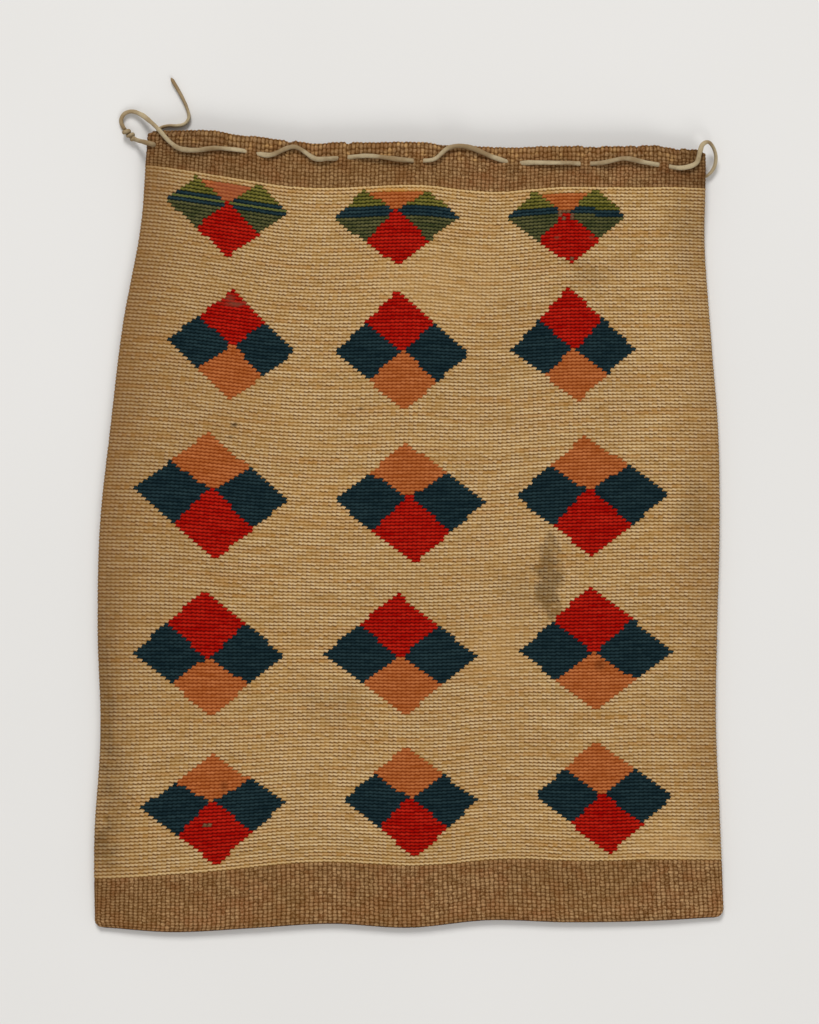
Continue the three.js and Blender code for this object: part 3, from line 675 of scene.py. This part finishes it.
def weave(first, last, phases, parts, front):
    """Points of a face, ring by ring, over the rim and down the inside, with their stitch and row."""
    per_row, per_stitch = len(phases), len(parts)
    rings = WOVEN_ROWS * per_row + 1
    columns = (last - first) * per_stitch + 1
    ring, column = np.indices((rings, columns))
    woven_row = ring // per_row
    stitch_index = column // per_stitch
    phase = np.asarray(phases)[ring % per_row]
    part = np.asarray(parts)[column % per_stitch]
    crest, bead = (phase > 0) * 1.0, (part > 0) * 1.0
    toss = np.random.default_rng(UNEVEN_SEED).normal(size=(WOVEN_ROWS + 1, last - first + 1, 3))
    uneven = toss[woven_row, stitch_index]
    leaning = slanting = 0
    if front:
        leaning = np.where(phase > 0.5, 1, -1) * crest * by_part(woven_row, *LEANS)
        slanting = np.where(part > 0.5, 1, -1) * bead * by_part(woven_row, *SLANTS) / 2
        slanting += by_part(woven_row, 0, np.asarray(HUSK_ARCH)[column % per_stitch], 0)
        slanting += rib_sway(last - first)[woven_row, stitch_index] * bead
    wide_of = by_part(woven_row, *UNEVEN_PLACES)
    stitch = first + stitch_index + part + leaning + wide_of * uneven[..., 0] * crest
    woven = woven_row + phase + slanting + wide_of * uneven[..., 1] * bead
    woven = np.where((ring == 0) | (ring == rings - 1), woven_row, woven)
    row = np.clip(row_place(woven), 0, TOTAL_ROWS)
    relief = by_part(woven_row, *ROW_DEPTHS) * (crest - 1) + by_part(woven_row, *STITCH_DEPTHS) * (bead - 1)
    relief += UNEVEN_HEIGHT * np.minimum(uneven[..., 2], 0) * crest * bead
    strips, strip_rise = (FRONT_STRIPS, FRONT_STRIP_RISE) if front else (BACK_STRIPS, BACK_STRIP_RISE)
    relief += strip_bulge(skin(stitch, row, 0.0), strips, strip_rise)
    if front:
        relief += face_rise(stitch, row)
    outside = skin(stitch, row, relief)
    over = [skin(stitch[-1], TOTAL_ROWS, -inset) for _, inset in EDGE_TURN]
    for turned, (ahead, _) in zip(over, EDGE_TURN):
        turned[:, 1] += ahead * lerp(EDGE_GAP_SHARE, 1, bead[-1])
    if front:
        outside[..., 1] -= edge_dip(outside) * smooth(row, TOTAL_ROWS - EDGE_DIP_ROWS, TOTAL_ROWS)
        for turned in over:
            turned[:, 1] -= edge_dip(turned)
    inside = [skin(stitch[-1], inside_row, -WALL) for inside_row in INSIDE_ROWS]
    inside[-1][:, 2] = BASE_THICKNESS / 2
    grid = np.concatenate([outside, over, inside])
    lining_marks = WOVEN_ROWS + LINING_STEP * np.arange(1, len(grid) - rings + 1)
    along_marks = np.concatenate([np.arange(rings) / per_row, lining_marks])
    return grid, np.stack(np.meshgrid(first + np.arange(columns) / per_stitch, along_marks), axis=-1)


def corners(grid, ring, column):
    """Corner numbers of the faces of a grid."""
    columns = grid.shape[1]
    start = ring.ravel() * columns + column.ravel()
    return np.stack([start, start + 1, start + columns + 1, start + columns], axis=1)


# Row where the husk is parted in two pieces
SPLIT_ROW = 117


def wool_nodes(wanted):
    """Names of the solids worked in a wool."""
    names = []
    for row_name, wools, _ in DIAMOND_ROWS:
        for side, wool in zip(("top", "sides", "bottom"), wools):
            if wool == wanted:
                names += [f"wool_{row_name}_row_{column}_{side}" for column in COLUMN_NAMES]
    return names


def add_face(materials, side, first, kinds, phases, parts):
    """One face of the bag: hemp bands with their lining, husk, and on the front its wools."""
    front = side == "front"
    per_row, per_stitch = len(phases), len(parts)
    grid, marks = weave(first, first + kinds.shape[1], phases, parts, front)

    def faces_of(kind, low=0, high=WOVEN_ROWS):
        rows, stitches = np.nonzero(kinds[low:high] == kind)
        ring, column = (index.ravel() for index in np.indices((per_row, per_stitch)))
        return corners(grid, (low + rows)[:, None] * per_row + ring, stitches[:, None] * per_stitch + column)

    def add(name, faces, kind):
        """A piece of weave with its stitch marks, and an even layer for the finish."""
        used, faces = np.unique(faces, return_inverse=True)
        faces = faces.reshape(-1, 4)
        place = marks.reshape(-1, 2)[used]
        low = place.min(axis=0)
        uvs = {"weave": place[faces], "OFBake": ((place - low) / (place.max(axis=0) - low))[faces]}
        return add_piece(name, grid.reshape(-1, 3)[used], faces, materials[kind], front, uvs)

    woven_rings = WOVEN_ROWS * per_row
    ring, column = np.indices((len(grid) - 1 - woven_rings, grid.shape[1] - 1))
    lining = corners(grid, woven_rings + ring, column)
    bands = add(f"hemp_bands_{side}", np.concatenate([faces_of("hemp"), lining]), "hemp")
    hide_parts("twined_bag")
    for name, low, high in (("lower", BASE_ROWS, SPLIT_ROW), ("upper", SPLIT_ROW, RIM_SEAM_ROW)):
        husk = add(f"husk_{'face' if front else 'back'}_{name}", faces_of("husk", low, high), "husk")
        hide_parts("husk_overlay")
    if not front:
        return
    for kind in WOOLS:
        striped = kind in STRIPE_WOOLS
        wool = add(f"wool_{kind}_stitches", faces_of(kind), kind)
        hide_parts(*wool_nodes("striped" if striped else kind))
    add("bare_wefts", faces_of("bare"), "bare")


def add_bag(materials):
    add_face(materials, "front", FRONT_FIRST, stitch_kinds(), FRONT_PHASES, FRONT_PARTS)
    back_kinds = np.full((WOVEN_ROWS, ROUND_STITCHES + FRONT_FIRST - FRONT_LAST), "hemp")
    back_kinds[BASE_ROWS:RIM_SEAM_ROW] = "husk"
    add_face(materials, "back", FRONT_LAST, back_kinds, BACK_PHASES, BACK_PARTS)


# Finishes
def shade(red, green, blue):
    """A colour as it shows, 0 to 255, as light is reckoned."""
    values = np.array([red, green, blue]) / 255
    linear = np.where(values <= 0.04045, values / 12.92, ((values + 0.055) / 1.055) ** 2.4)
    return (*linear.tolist(), 1.0)


class Nodes:
    """Short ways to place nodes in one tree."""
    def __init__(self, tree):
        self.tree = tree

    def add(self, kind, inputs=None, **settings):
        node = self.tree.nodes.new(kind)
        for name, value in settings.items():
            setattr(node, name, value)
        for key, value in (inputs or {}).items():
            self.feed(node.inputs[key], value)
        return node

    def feed(self, socket, value):
        if isinstance(value, bpy.types.NodeSocket):
            self.tree.links.new(value, socket)
        else:
            socket.default_value = value

    def math(self, operation, a, b=0.0, c=0.0):
        return self.add("ShaderNodeMath", {0: a, 1: b, 2: c}, operation=operation).outputs[0]

    def times(self, a, b, plus=0.0):
        return self.math("MULTIPLY_ADD", a, b, plus)

    def weigh(self, marks, shares):
        total = 0.0
        for label, share in shares:
            total = self.times(marks[label], share, total)
        return total

    def ramp(self, value, low, high, to_low=0.0, to_high=1.0):
        inputs = {"Value": value, "From Min": low, "From Max": high, "To Min": to_low, "To Max": to_high}
        return self.add("ShaderNodeMapRange", inputs, interpolation_type="SMOOTHSTEP").outputs[0]

    def mix(self, share, a, b, blend="MIX"):
        """Tone b over tone a. A plain colour is given as it shows, 0 to 255."""
        a, b = (shade(*tone) if isinstance(tone, tuple) else tone for tone in (a, b))
        inputs = {"Factor": share, "A": a, "B": b}
        return self.add("ShaderNodeMix", inputs, data_type="RGBA", blend_type=blend).outputs["Result"]

    def tint(self, tone, mark, strength, colour, blend="MIX"):
        """A tone with a colour over it where a mark lies."""
        return self.mix(self.times(mark, strength), tone, colour, blend)

    def vector(self, x, y):
        return self.add("ShaderNodeCombineXYZ", {0: x, 1: y}).outputs[0]

    def noise(self, place, scale, detail):
        inputs = {"Vector": place, "Scale": scale, "Detail": detail}
        return self.add("ShaderNodeTexNoise", inputs).outputs["Fac"]

    def chance(self, x, y):
        inputs = {"Vector": self.vector(x, y)}
        return self.add("ShaderNodeTexWhiteNoise", inputs, noise_dimensions="2D").outputs["Value"]

    def place(self):
        return self.add("ShaderNodeTexCoord").outputs["Object"]

    def weave_place(self):
        """Stitch and row of the weave at each point."""
        marks = self.add("ShaderNodeUVMap", uv_map="weave").outputs[0]
        return self.add("ShaderNodeSeparateXYZ", {0: marks}).outputs[:2]

    def group(self, name, **inputs):
        return self.add("ShaderNodeGroup", inputs, node_tree=bpy.data.node_groups[name]).outputs

    def fibre(self, fineness):
        return self.group("fibres", Fineness=fineness)["Fibre"]

    def patch(self, size, low, high):
        return self.group("soiling", Size=size, Low=low, High=high)["Patch"]


def new_group(name, outputs, **inputs):
    """A group of named numbers: its nodes, its inputs, and where its results go."""
    tree = bpy.data.node_groups.new(name, "ShaderNodeTree")
    for label, usual in inputs.items():
        socket = tree.interface.new_socket(label, in_out="INPUT", socket_type="NodeSocketFloat")
        socket.default_value = usual
    for label in outputs:
        tree.interface.new_socket(label, in_out="OUTPUT", socket_type="NodeSocketFloat")
    start, end = (tree.nodes.new(kind) for kind in ("NodeGroupInput", "NodeGroupOutput"))
    return Nodes(tree), start.outputs, end.inputs


# In parts of a row: its waves, and the lean of slanted edges where shade is painted
ROW_WAVE = 0.05
SLANT_SHADE_LEAN = 0.55
SLANT_SHADE_RANGE = (0.2, 0.5)
RIDGE_POWER = 1.5
# Share of a bead's tone from its roundness, up and across
ROUND_UP = 0.72
ROUND_SIDE = 0.77
HOLE_RANGE = (0.05, 0.7)
HOLE_DEPTHS = (0.1, 0.9, 0.2, 1)
# Tones along the weave: what each follows and how fast, across and along; range of its noise; detail
WEAVE_TONES = {
    "Strand": ("across", 0.13, "row", 7.31, 0.3, 0.7, 2.0),
    "Rib": ("stitch", 7.31, "along", 0.17, 0.36, 0.64, 1.0),
    "Amber": ("across", 0.045, "row", 3.77, 0.5, 0.68, 1.0),
    "Band": ("across", 0.014, "along", 0.11, 0.36, 0.64, 2.0),
    "Groove": ("across", 0.55, "along", 2.3, 0.35, 0.65, 2.0),
    "Fleck": ("across", 2.2, "along", 2.3, 0.38, 0.62, 1.0),
}


def stitch_group():
    """Marks of the twining: ridges of rows, rounds, holes and slanted edges of stitches, by which the
    finishes lay painted shade, and tones.
    """
    labels = ("Ridge", "Round", "Hole", "SlantShade", "Stitch", *WEAVE_TONES)
    nodes, _, results = new_group("stitch_marks", labels)
    across, level = nodes.weave_place()
    waves = nodes.math("SINE", nodes.times(across, math.tau))
    along = nodes.times(waves, -ROW_WAVE, level)
    row, stitch = nodes.math("FLOOR", along), nodes.math("FLOOR", across)
    up, side = nodes.math("FRACT", along), nodes.math("FRACT", across)
    round_up, round_side = (nodes.math("SINE", nodes.times(part, math.pi)) for part in (up, side))
    beaded_up = nodes.times(round_up, ROUND_UP, 1 - ROUND_UP)
    beaded_side = nodes.times(round_side, ROUND_SIDE, 1 - ROUND_SIDE)
    deep = nodes.ramp(nodes.chance(stitch, nodes.math("ROUND", along)), *HOLE_DEPTHS)
    slanted = nodes.math("FRACT", nodes.times(up, -SLANT_SHADE_LEAN, across))
    from_middle = nodes.math("ABSOLUTE", nodes.math("SUBTRACT", slanted, 0.5))
    made = {
        "Ridge": nodes.math("POWER", round_up, RIDGE_POWER), "Round": nodes.times(beaded_up, beaded_side),
        "Hole": nodes.times(nodes.ramp(round_side, *HOLE_RANGE), deep),
        "SlantShade": nodes.ramp(from_middle, *SLANT_SHADE_RANGE), "Stitch": nodes.chance(stitch, row),
    }
    follows = {"across": across, "along": along, "row": row, "stitch": stitch}
    for label, (beside, rate, onward, pace, low, high, detail) in WEAVE_TONES.items():
        place = nodes.vector(nodes.times(follows[beside], rate), nodes.times(follows[onward], pace))
        made[label] = nodes.ramp(nodes.noise(place, 1.0, detail), low, high)
    for label, value in made.items():
        nodes.feed(results[label], value)


# Lean of the fibres, and their change along the weave
FIBRE_LEAN = 0.5
FIBRE_RATE = 1.3


def fibre_group():
    """Fine fibres that run up the lean of the stitches."""
    nodes, given, results = new_group("fibres", ("Fibre",), Fineness=8.0)
    across, along = nodes.weave_place()
    leaning = nodes.times(along, -FIBRE_LEAN, across)
    place = nodes.vector(nodes.times(leaning, given["Fineness"]), nodes.times(along, FIBRE_RATE))
    nodes.feed(results["Fibre"], nodes.noise(place, 1.0, 2.0))


def soiling_group():
    """Broad uneven patches of age and handling."""
    nodes, given, results = new_group("soiling", ("Patch",), Size=12.0, Low=0.35, High=0.75)
    noise = nodes.noise(nodes.place(), given["Size"], 4.0)
    nodes.feed(results["Patch"], nodes.ramp(noise, given["Low"], given["High"]))


# A stain's sides bend and its outline is ragged: how often in a metre, and how far in parts of its size. It
# ends a little past its size, and lies above this height in metres.
STAIN_BENDS, STAIN_BEND = 28, 0.8
STAIN_RAGS, STAIN_RAG = 130, 1.4
STAIN_END = 1.1
FACE_HEIGHT = 0.004


def stain_group():
    """One soft, ragged mark at a place on the face."""
    sizes = {"Across": 0.0, "Along": 0.0, "Wide": 0.01, "Tall": 0.01, "Fade": 1.0}
    nodes, given, results = new_group("stain", ("Mark",), **sizes)
    place = nodes.place()
    across, along, height = nodes.add("ShaderNodeSeparateXYZ", {0: place}).outputs
    x = nodes.math("DIVIDE", nodes.math("SUBTRACT", across, given["Across"]), given["Wide"])
    y = nodes.math("DIVIDE", nodes.math("SUBTRACT", along, given["Along"]), given["Tall"])
    bend = nodes.math("SUBTRACT", nodes.noise(place, STAIN_BENDS, 1.0), 0.5)
    x_squared = nodes.math("POWER", nodes.times(bend, STAIN_BEND, x), 2.0)
    away = nodes.math("SQRT", nodes.math("ADD", x_squared, nodes.math("POWER", y, 2.0)))
    rag = nodes.math("SUBTRACT", nodes.noise(place, STAIN_RAGS, 4.0), 0.5)
    ragged = nodes.times(rag, STAIN_RAG, away)
    inside = nodes.math("SUBTRACT", STAIN_END, given["Fade"])
    mark = nodes.ramp(ragged, inside, STAIN_END, 1.0, 0.0)
    nodes.feed(results["Mark"], nodes.times(mark, nodes.math("GREATER_THAN", height, FACE_HEIGHT)))


BUMP_DEPTH = 0.0004


def new_material(name, roughness, specular=0.03):
    material = bpy.data.materials.new(name)
    material.use_nodes = True
    shader = material.node_tree.nodes["Principled BSDF"]
    shader.inputs["Roughness"].default_value = roughness
    shader.inputs["Specular IOR Level"].default_value = specular
    return material, Nodes(material.node_tree)


def dress(material, tone, height=None, bump=0.0):
    """Lay a tone on a material, and a fine bump."""
    nodes = Nodes(material.node_tree)
    shader = material.node_tree.nodes["Principled BSDF"]
    nodes.feed(shader.inputs["Base Color"], tone)
    if height is not None:
        inputs = {"Height": height, "Strength": bump, "Distance": BUMP_DEPTH}
        nodes.feed(shader.inputs["Normal"], nodes.add("ShaderNodeBump", inputs).outputs[0])
    return material


# Marks on the face: colour and how it is laid; across and down on the view, half width and height, strength,
# and for some how far in they fade
MARKS = {
    "dirt": ((112, 108, 104), "MULTIPLY", (
        (550.5, 578, 15.5, 54, 0.52, 0.7), (524, 588, 40, 32, 0.14), (590, 275, 36, 22, 0.2),
        (690, 510, 26, 36, 0.22), (235, 425, 5, 3, 0.8), (232, 437, 4, 2.6, 0.6), (190, 487, 4, 2.6, 0.5),
        (106, 700, 14, 150, 0.3), (330, 700, 46, 28, 0.15), (104, 845, 20, 30, 0.4),
        (362, 409, 5, 2.6, 0.5), (692, 228, 34, 48, 0.14), (116, 780, 24, 110, 0.18),
    )),
    "pale": ((206, 164, 104), "MIX", (
        (668, 842, 74, 26, 0.2), (430, 290, 90, 60, 0.22), (500, 650, 40, 60, 0.18),
    )),
    "amber": ((198, 132, 40), "MIX", ((396, 191.5, 36, 2.6, 0.6),)),
    "dull": ((150, 140, 130), "MULTIPLY", (
        (225, 786, 7, 8, 0.55), (599, 664, 7, 8, 0.5), (566, 690, 5, 5, 0.4),
    )),
    "pink": ((146, 80, 56), "MIX", ((230, 188, 44, 28, 0.5),)),
    "threadbare": ((112, 62, 44), "MIX", (
        (238, 305, 15, 3.4, 0.8), (231, 299, 6, 6, 0.6), (248, 303, 6, 5, 0.7), (219, 301, 6, 3, 0.7),
        (556, 239, 4, 2.6, 0.6), (591, 239, 4, 2.6, 0.6),
    )),
}
HUSK_MARKS = ("pale", "amber", "dirt")
WOOL_MARKS = {"red": ("threadbare",), "orange": ("pink", "dull")}


def add_marks(nodes, tone, names):
    step = VIEW_STEP * MM
    for colour, blend, places in (MARKS[name] for name in names):
        for across, down, wide, tall, strength, *fade in places:
            x, y, _ = metres_at(across, down)
            sizes = {"Wide": wide * step, "Tall": tall * step, "Fade": fade[0] if fade else 1.0}
            mark = nodes.group("stain", Across=x, Along=y, **sizes)["Mark"]
            tone = nodes.tint(tone, mark, strength, colour, blend)
    return tone


# Husk: its strands, their tints in turn and how strong, and its grooves, dark where the weft shows and with
# painted shade
FIBRE_RANGE = (0.4, 0.75)
HUSK_STRANDS = ((180, 146, 94), (218, 188, 137))
# The last tint is painted shade along the slanted edges of stitches
HUSK_TINTS = (
    ("Band", 0.35, (202, 162, 102)), ("Amber", 0.6, (182, 128, 62)), ("Age", 0.25, (158, 126, 84)),
    ("Fibre", 0.2, (150, 108, 56)), ("Stitch", 0.5, (232, 204, 160)), ("SlantShade", 0.3, (134, 92, 38)),
)
HUSK_AGE = (7, 0.45, 0.75)
HUSK_GROOVES = ((118, 78, 20), (156, 112, 50))
HUSK_HOLES = (90, 50, 0)
HUSK_RIDGE = 1.25
# Pale rows by the two seams: where they begin and are full
PALE_ROWS = ((215.4, 216), (18.4, 17.8))
PALE_ROW = (0.5, (218, 184, 130))
# Sides darkened as painted shade of the folds, by stitch or row: from, to, strength at each; the left is also
# darkened more widely, most from row 100 up
HUSK_SIDE_SHADE = (112, 76, 42)
HUSK_LEFT = (-2, 12, 0.3, 0)
HUSK_RIGHT = (124, 139, 0, 0.3)
DARKER_LEFT_STITCHES = (-2, 46, 0.34, 0)
DARKER_LEFT_ROWS = (40, 100, 0.3, 1)


def husk_material():
    material, nodes = new_material("cornhusk", roughness=0.7)
    fibre = nodes.fibre(9.0)
    marks = dict(nodes.group("stitch_marks").items())
    marks.update(Age=nodes.patch(*HUSK_AGE), Fibre=nodes.ramp(fibre, *FIBRE_RANGE))
    tone = nodes.mix(marks["Strand"], *HUSK_STRANDS)
    for label, strength, colour in HUSK_TINTS:
        tone = nodes.tint(tone, marks[label], strength, colour)
    across, along = nodes.weave_place()
    for rows in PALE_ROWS:
        tone = nodes.tint(tone, nodes.ramp(along, *rows), *PALE_ROW)
    # Grooves between rows, dark brown where the hemp weft shows and darker still as painted shade, most at
    # the holes mid-stitch; the crests keep the husk tone
    groove = nodes.mix(marks["Hole"], nodes.mix(marks["Groove"], *HUSK_GROOVES), HUSK_HOLES)
    ridged = nodes.mix(nodes.math("POWER", marks["Ridge"], HUSK_RIDGE), groove, tone)
    # Painted shade: the husk darkens towards its sides, where the face turns over the folds
    darker_left = nodes.times(nodes.ramp(across, *DARKER_LEFT_STITCHES), nodes.ramp(along, *DARKER_LEFT_ROWS))
    left = nodes.math("ADD", nodes.ramp(across, *HUSK_LEFT), darker_left)
    sides = nodes.math("MAXIMUM", left, nodes.ramp(across, *HUSK_RIGHT))
    front = nodes.math("LESS_THAN", across, FRONT_LAST)
    darker_sides = nodes.tint(ridged, sides, front, HUSK_SIDE_SHADE)
    return dress(material, add_marks(nodes, darker_sides, HUSK_MARKS), fibre, bump=0.2)


# Twined hemp: gaps and beads from dark to light, the gaps dark where the weft shows and with painted shade,
# and flecks of the turned edge
HEMP = (((70, 36, 0), (92, 53, 12)), ((94, 56, 18), (192, 153, 107)))
BARE_WEFTS = (((56, 24, 14), (80, 42, 28)), ((80, 50, 34), (136, 100, 74)))
EDGE_FLECK = (206, 160, 100)
# What makes a bead light, by share; then patches over the beads and their strength
BEAD_SHARES = (("Stitch", 0.48), ("Rib", 0.1), ("Fleck", 0.42))
HEMP_PATCHES = (((75, 0.42, 0.66), 0.45, (142, 84, 46)), ((24, 0.38, 0.66), 0.35, (124, 92, 48)))
HEMP_DUST = (160, 0.5, 0.72)
DUST_STRENGTH = 0.4
HEMP_FIBRE = 0.25
EDGE_FLECK_ROWS = (PLAIN_ROWS - 1.6, PLAIN_ROWS - 0.6, 0, 0.7)
BEAD_RANGE = (0, 0.9)
# Ends of the bands darker, by stitch: from, to, strength at each
HEMP_DARK_ENDS = (52, 32, 14)
RIM_ROWS_FROM = (RIM_SEAM_ROW - 1, RIM_SEAM_ROW + 1)
RIM_LEFT = (0, 45, 0.36, 0.12)
RIM_RIGHT = (116, 138, 0.12, 0.46)
BAND_LEFT = (0, 16, 0.14, 0)


def hemp_material(name, gaps, beads):
    material, nodes = new_material(name, roughness=0.85)
    marks = nodes.group("stitch_marks")
    fibre = nodes.fibre(6.0)
    tone = nodes.mix(nodes.weigh(marks, BEAD_SHARES), *beads)
    for spread, strength, colour in HEMP_PATCHES:
        tone = nodes.tint(tone, nodes.patch(*spread), strength, colour)
    dust = nodes.patch(*HEMP_DUST)
    tone = nodes.tint(tone, dust, DUST_STRENGTH, beads[1])
    tone = nodes.tint(tone, nodes.ramp(fibre, *FIBRE_RANGE), HEMP_FIBRE, beads[1])
    across, along = nodes.weave_place()
    tone = nodes.tint(tone, dust, nodes.ramp(along, *EDGE_FLECK_ROWS), EDGE_FLECK)
    gap = nodes.mix(marks["Groove"], *gaps)
    # Painted shade: each bead darkens into the gaps round it, where the weft also shows
    twined = nodes.mix(nodes.ramp(marks["Round"], *BEAD_RANGE), gap, tone)
    # The bands darken towards their ends
    ends = nodes.math("MAXIMUM", nodes.ramp(across, *RIM_LEFT), nodes.ramp(across, *RIM_RIGHT))
    rim_ends = nodes.times(ends, nodes.ramp(along, *RIM_ROWS_FROM))
    darker_sides = nodes.math("MAXIMUM", rim_ends, nodes.ramp(across, *BAND_LEFT))
    return dress(material, nodes.mix(darker_sides, twined, HEMP_DARK_ENDS), fibre, bump=0.3)


# Dyed yarns: the dark and light of the rows, and the grooves between them, dark where the weft shows and with
# painted shade
WOOLS = {
    "red": ((153, 4, 0), (194, 38, 22), (84, 0, 0)),
    "orange": ((160, 84, 36), (195, 118, 68), (118, 46, 5)),
    "teal": ((17, 34, 40), (40, 60, 64), (4, 15, 18)),
    "olive": ((84, 83, 30), (132, 122, 57), (12, 20, 0)),
    "green": ((58, 63, 34), (102, 98, 60), (4, 14, 6)),
    "navy": ((22, 40, 48), (48, 68, 70), (2, 12, 18)),
}
YARN_SHARES = (("Strand", 0.5), ("Stitch", 0.4))
WOOL_FIBRE_RANGE = (0.45, 0.8)
WOOL_FIBRE = 0.25
# A thin olive line parts the left diamond's navy rows: row, edges to each side, last stitch
PARTING = (92, 96, 46)
PARTING_ROW = 209.5
PARTING_EDGES = (0.16, 0.4, 1, 0)
PARTING_LAST_STITCH = 42


def wool_material(kind, dark, light, groove):
    material, nodes = new_material(f"{kind}_wool", roughness=0.9)
    marks = nodes.group("stitch_marks")
    fibre = nodes.fibre(7.0)
    yarn = nodes.mix(nodes.weigh(marks, YARN_SHARES), dark, light)
    fuzzy = nodes.tint(yarn, nodes.ramp(fibre, *WOOL_FIBRE_RANGE), WOOL_FIBRE, light)
    # Painted shade: each row darkens into the grooves below and above it, where the weft also shows
    tone = nodes.mix(marks["Ridge"], groove, fuzzy)
    tone = add_marks(nodes, tone, WOOL_MARKS.get(kind, ()))
    if kind == "navy":
        across, along = nodes.weave_place()
        away = nodes.math("ABSOLUTE", nodes.math("SUBTRACT", along, PARTING_ROW))
        within = nodes.math("LESS_THAN", across, PARTING_LAST_STITCH)
        tone = nodes.tint(tone, nodes.ramp(away, *PARTING_EDGES), within, PARTING)
    return dress(material, tone, fibre, bump=0.3)


# Cord: pale, soiled in patches, and worn in its grain
CORD_TONES = ((178, 161, 128), (140, 117, 85))
CORD_SOILING = (38, 0.4, 0.62)
CORD_GRAIN = 900
CORD_WORN_RANGE = (0.5, 0.75)
CORD_WORN = (0.35, (114, 93, 64))


def cord_material():
    material, nodes = new_material("pale_thong", roughness=0.8, specular=0.1)
    grain = nodes.noise(nodes.place(), CORD_GRAIN, 3.0)
    tone = nodes.mix(nodes.patch(*CORD_SOILING), *CORD_TONES)
    worn = nodes.tint(tone, nodes.ramp(grain, *CORD_WORN_RANGE), *CORD_WORN)
    return dress(material, worn, grain, bump=0.35)


def make_materials():
    for make_group in (stitch_group, fibre_group, soiling_group, stain_group):
        make_group()
    made = {kind: wool_material(kind, *tones) for kind, tones in WOOLS.items()}
    made.update(husk=husk_material(), cord=cord_material())
    made.update(hemp=hemp_material("twined_hemp", *HEMP), bare=hemp_material("bare_wefts", *BARE_WEFTS))
    return made


# Floor and light, in metres
FLOOR_HALF = 7.0
FLOOR_DROP = 0.0004
FLOOR_TONES = ((226, 224, 220), (232, 230, 227))
FLOOR_GRAIN = 3
# Lights: power, size, place
LIGHTS = {"key": (490, 3.0, (-1.0, 6.2, 6.0)), "fill": (160, 3.6, (2.4, -5.2, 5.2))}
WORLD_STRENGTH = 0.4
BACKDROP_STRENGTH = 0.82


def add_floor():
    mesh = bpy.data.meshes.new("floor")
    ways = ((-1, -1), (1, -1), (1, 1), (-1, 1))
    mesh.from_pydata([(x * FLOOR_HALF, y * FLOOR_HALF, -FLOOR_DROP) for x, y in ways], [], [(0, 1, 2, 3)])
    floor = add_object("floor", mesh)
    material, nodes = new_material("pale_floor", roughness=0.9, specular=0.1)
    grain = nodes.noise(nodes.place(), FLOOR_GRAIN, 2.0)
    mesh.materials.append(dress(material, nodes.mix(grain, *FLOOR_TONES)))


def add_lights():
    for name, (power, size, place) in LIGHTS.items():
        data = bpy.data.lights.new(name, "AREA")
        data.energy = power
        data.size = size
        light = add_object(name, data)
        light.location = place
        light.rotation_euler = (-Vector(place)).to_track_quat("-Z", "Y").to_euler()
    world = bpy.data.worlds.new("studio")
    bpy.context.scene.world = world
    world.use_nodes = True
    nodes = Nodes(world.node_tree)
    background = world.node_tree.nodes["Background"]
    background.inputs["Color"].default_value = (1.0, 1.0, 1.0, 1.0)
    path = nodes.add("ShaderNodeLightPath").outputs
    mirrored = nodes.math("MAXIMUM", path["Is Glossy Ray"], path["Is Transmission Ray"])
    seen = nodes.math("MAXIMUM", path["Is Camera Ray"], mirrored)
    strength = nodes.times(seen, BACKDROP_STRENGTH - WORLD_STRENGTH, WORLD_STRENGTH)
    nodes.feed(background.inputs["Strength"], strength)
    bpy.context.scene.view_settings.view_transform = "Standard"


add_camera()
finishes = make_materials()
add_cord(finishes["cord"])
add_bag(finishes)
add_floor()
add_lights()
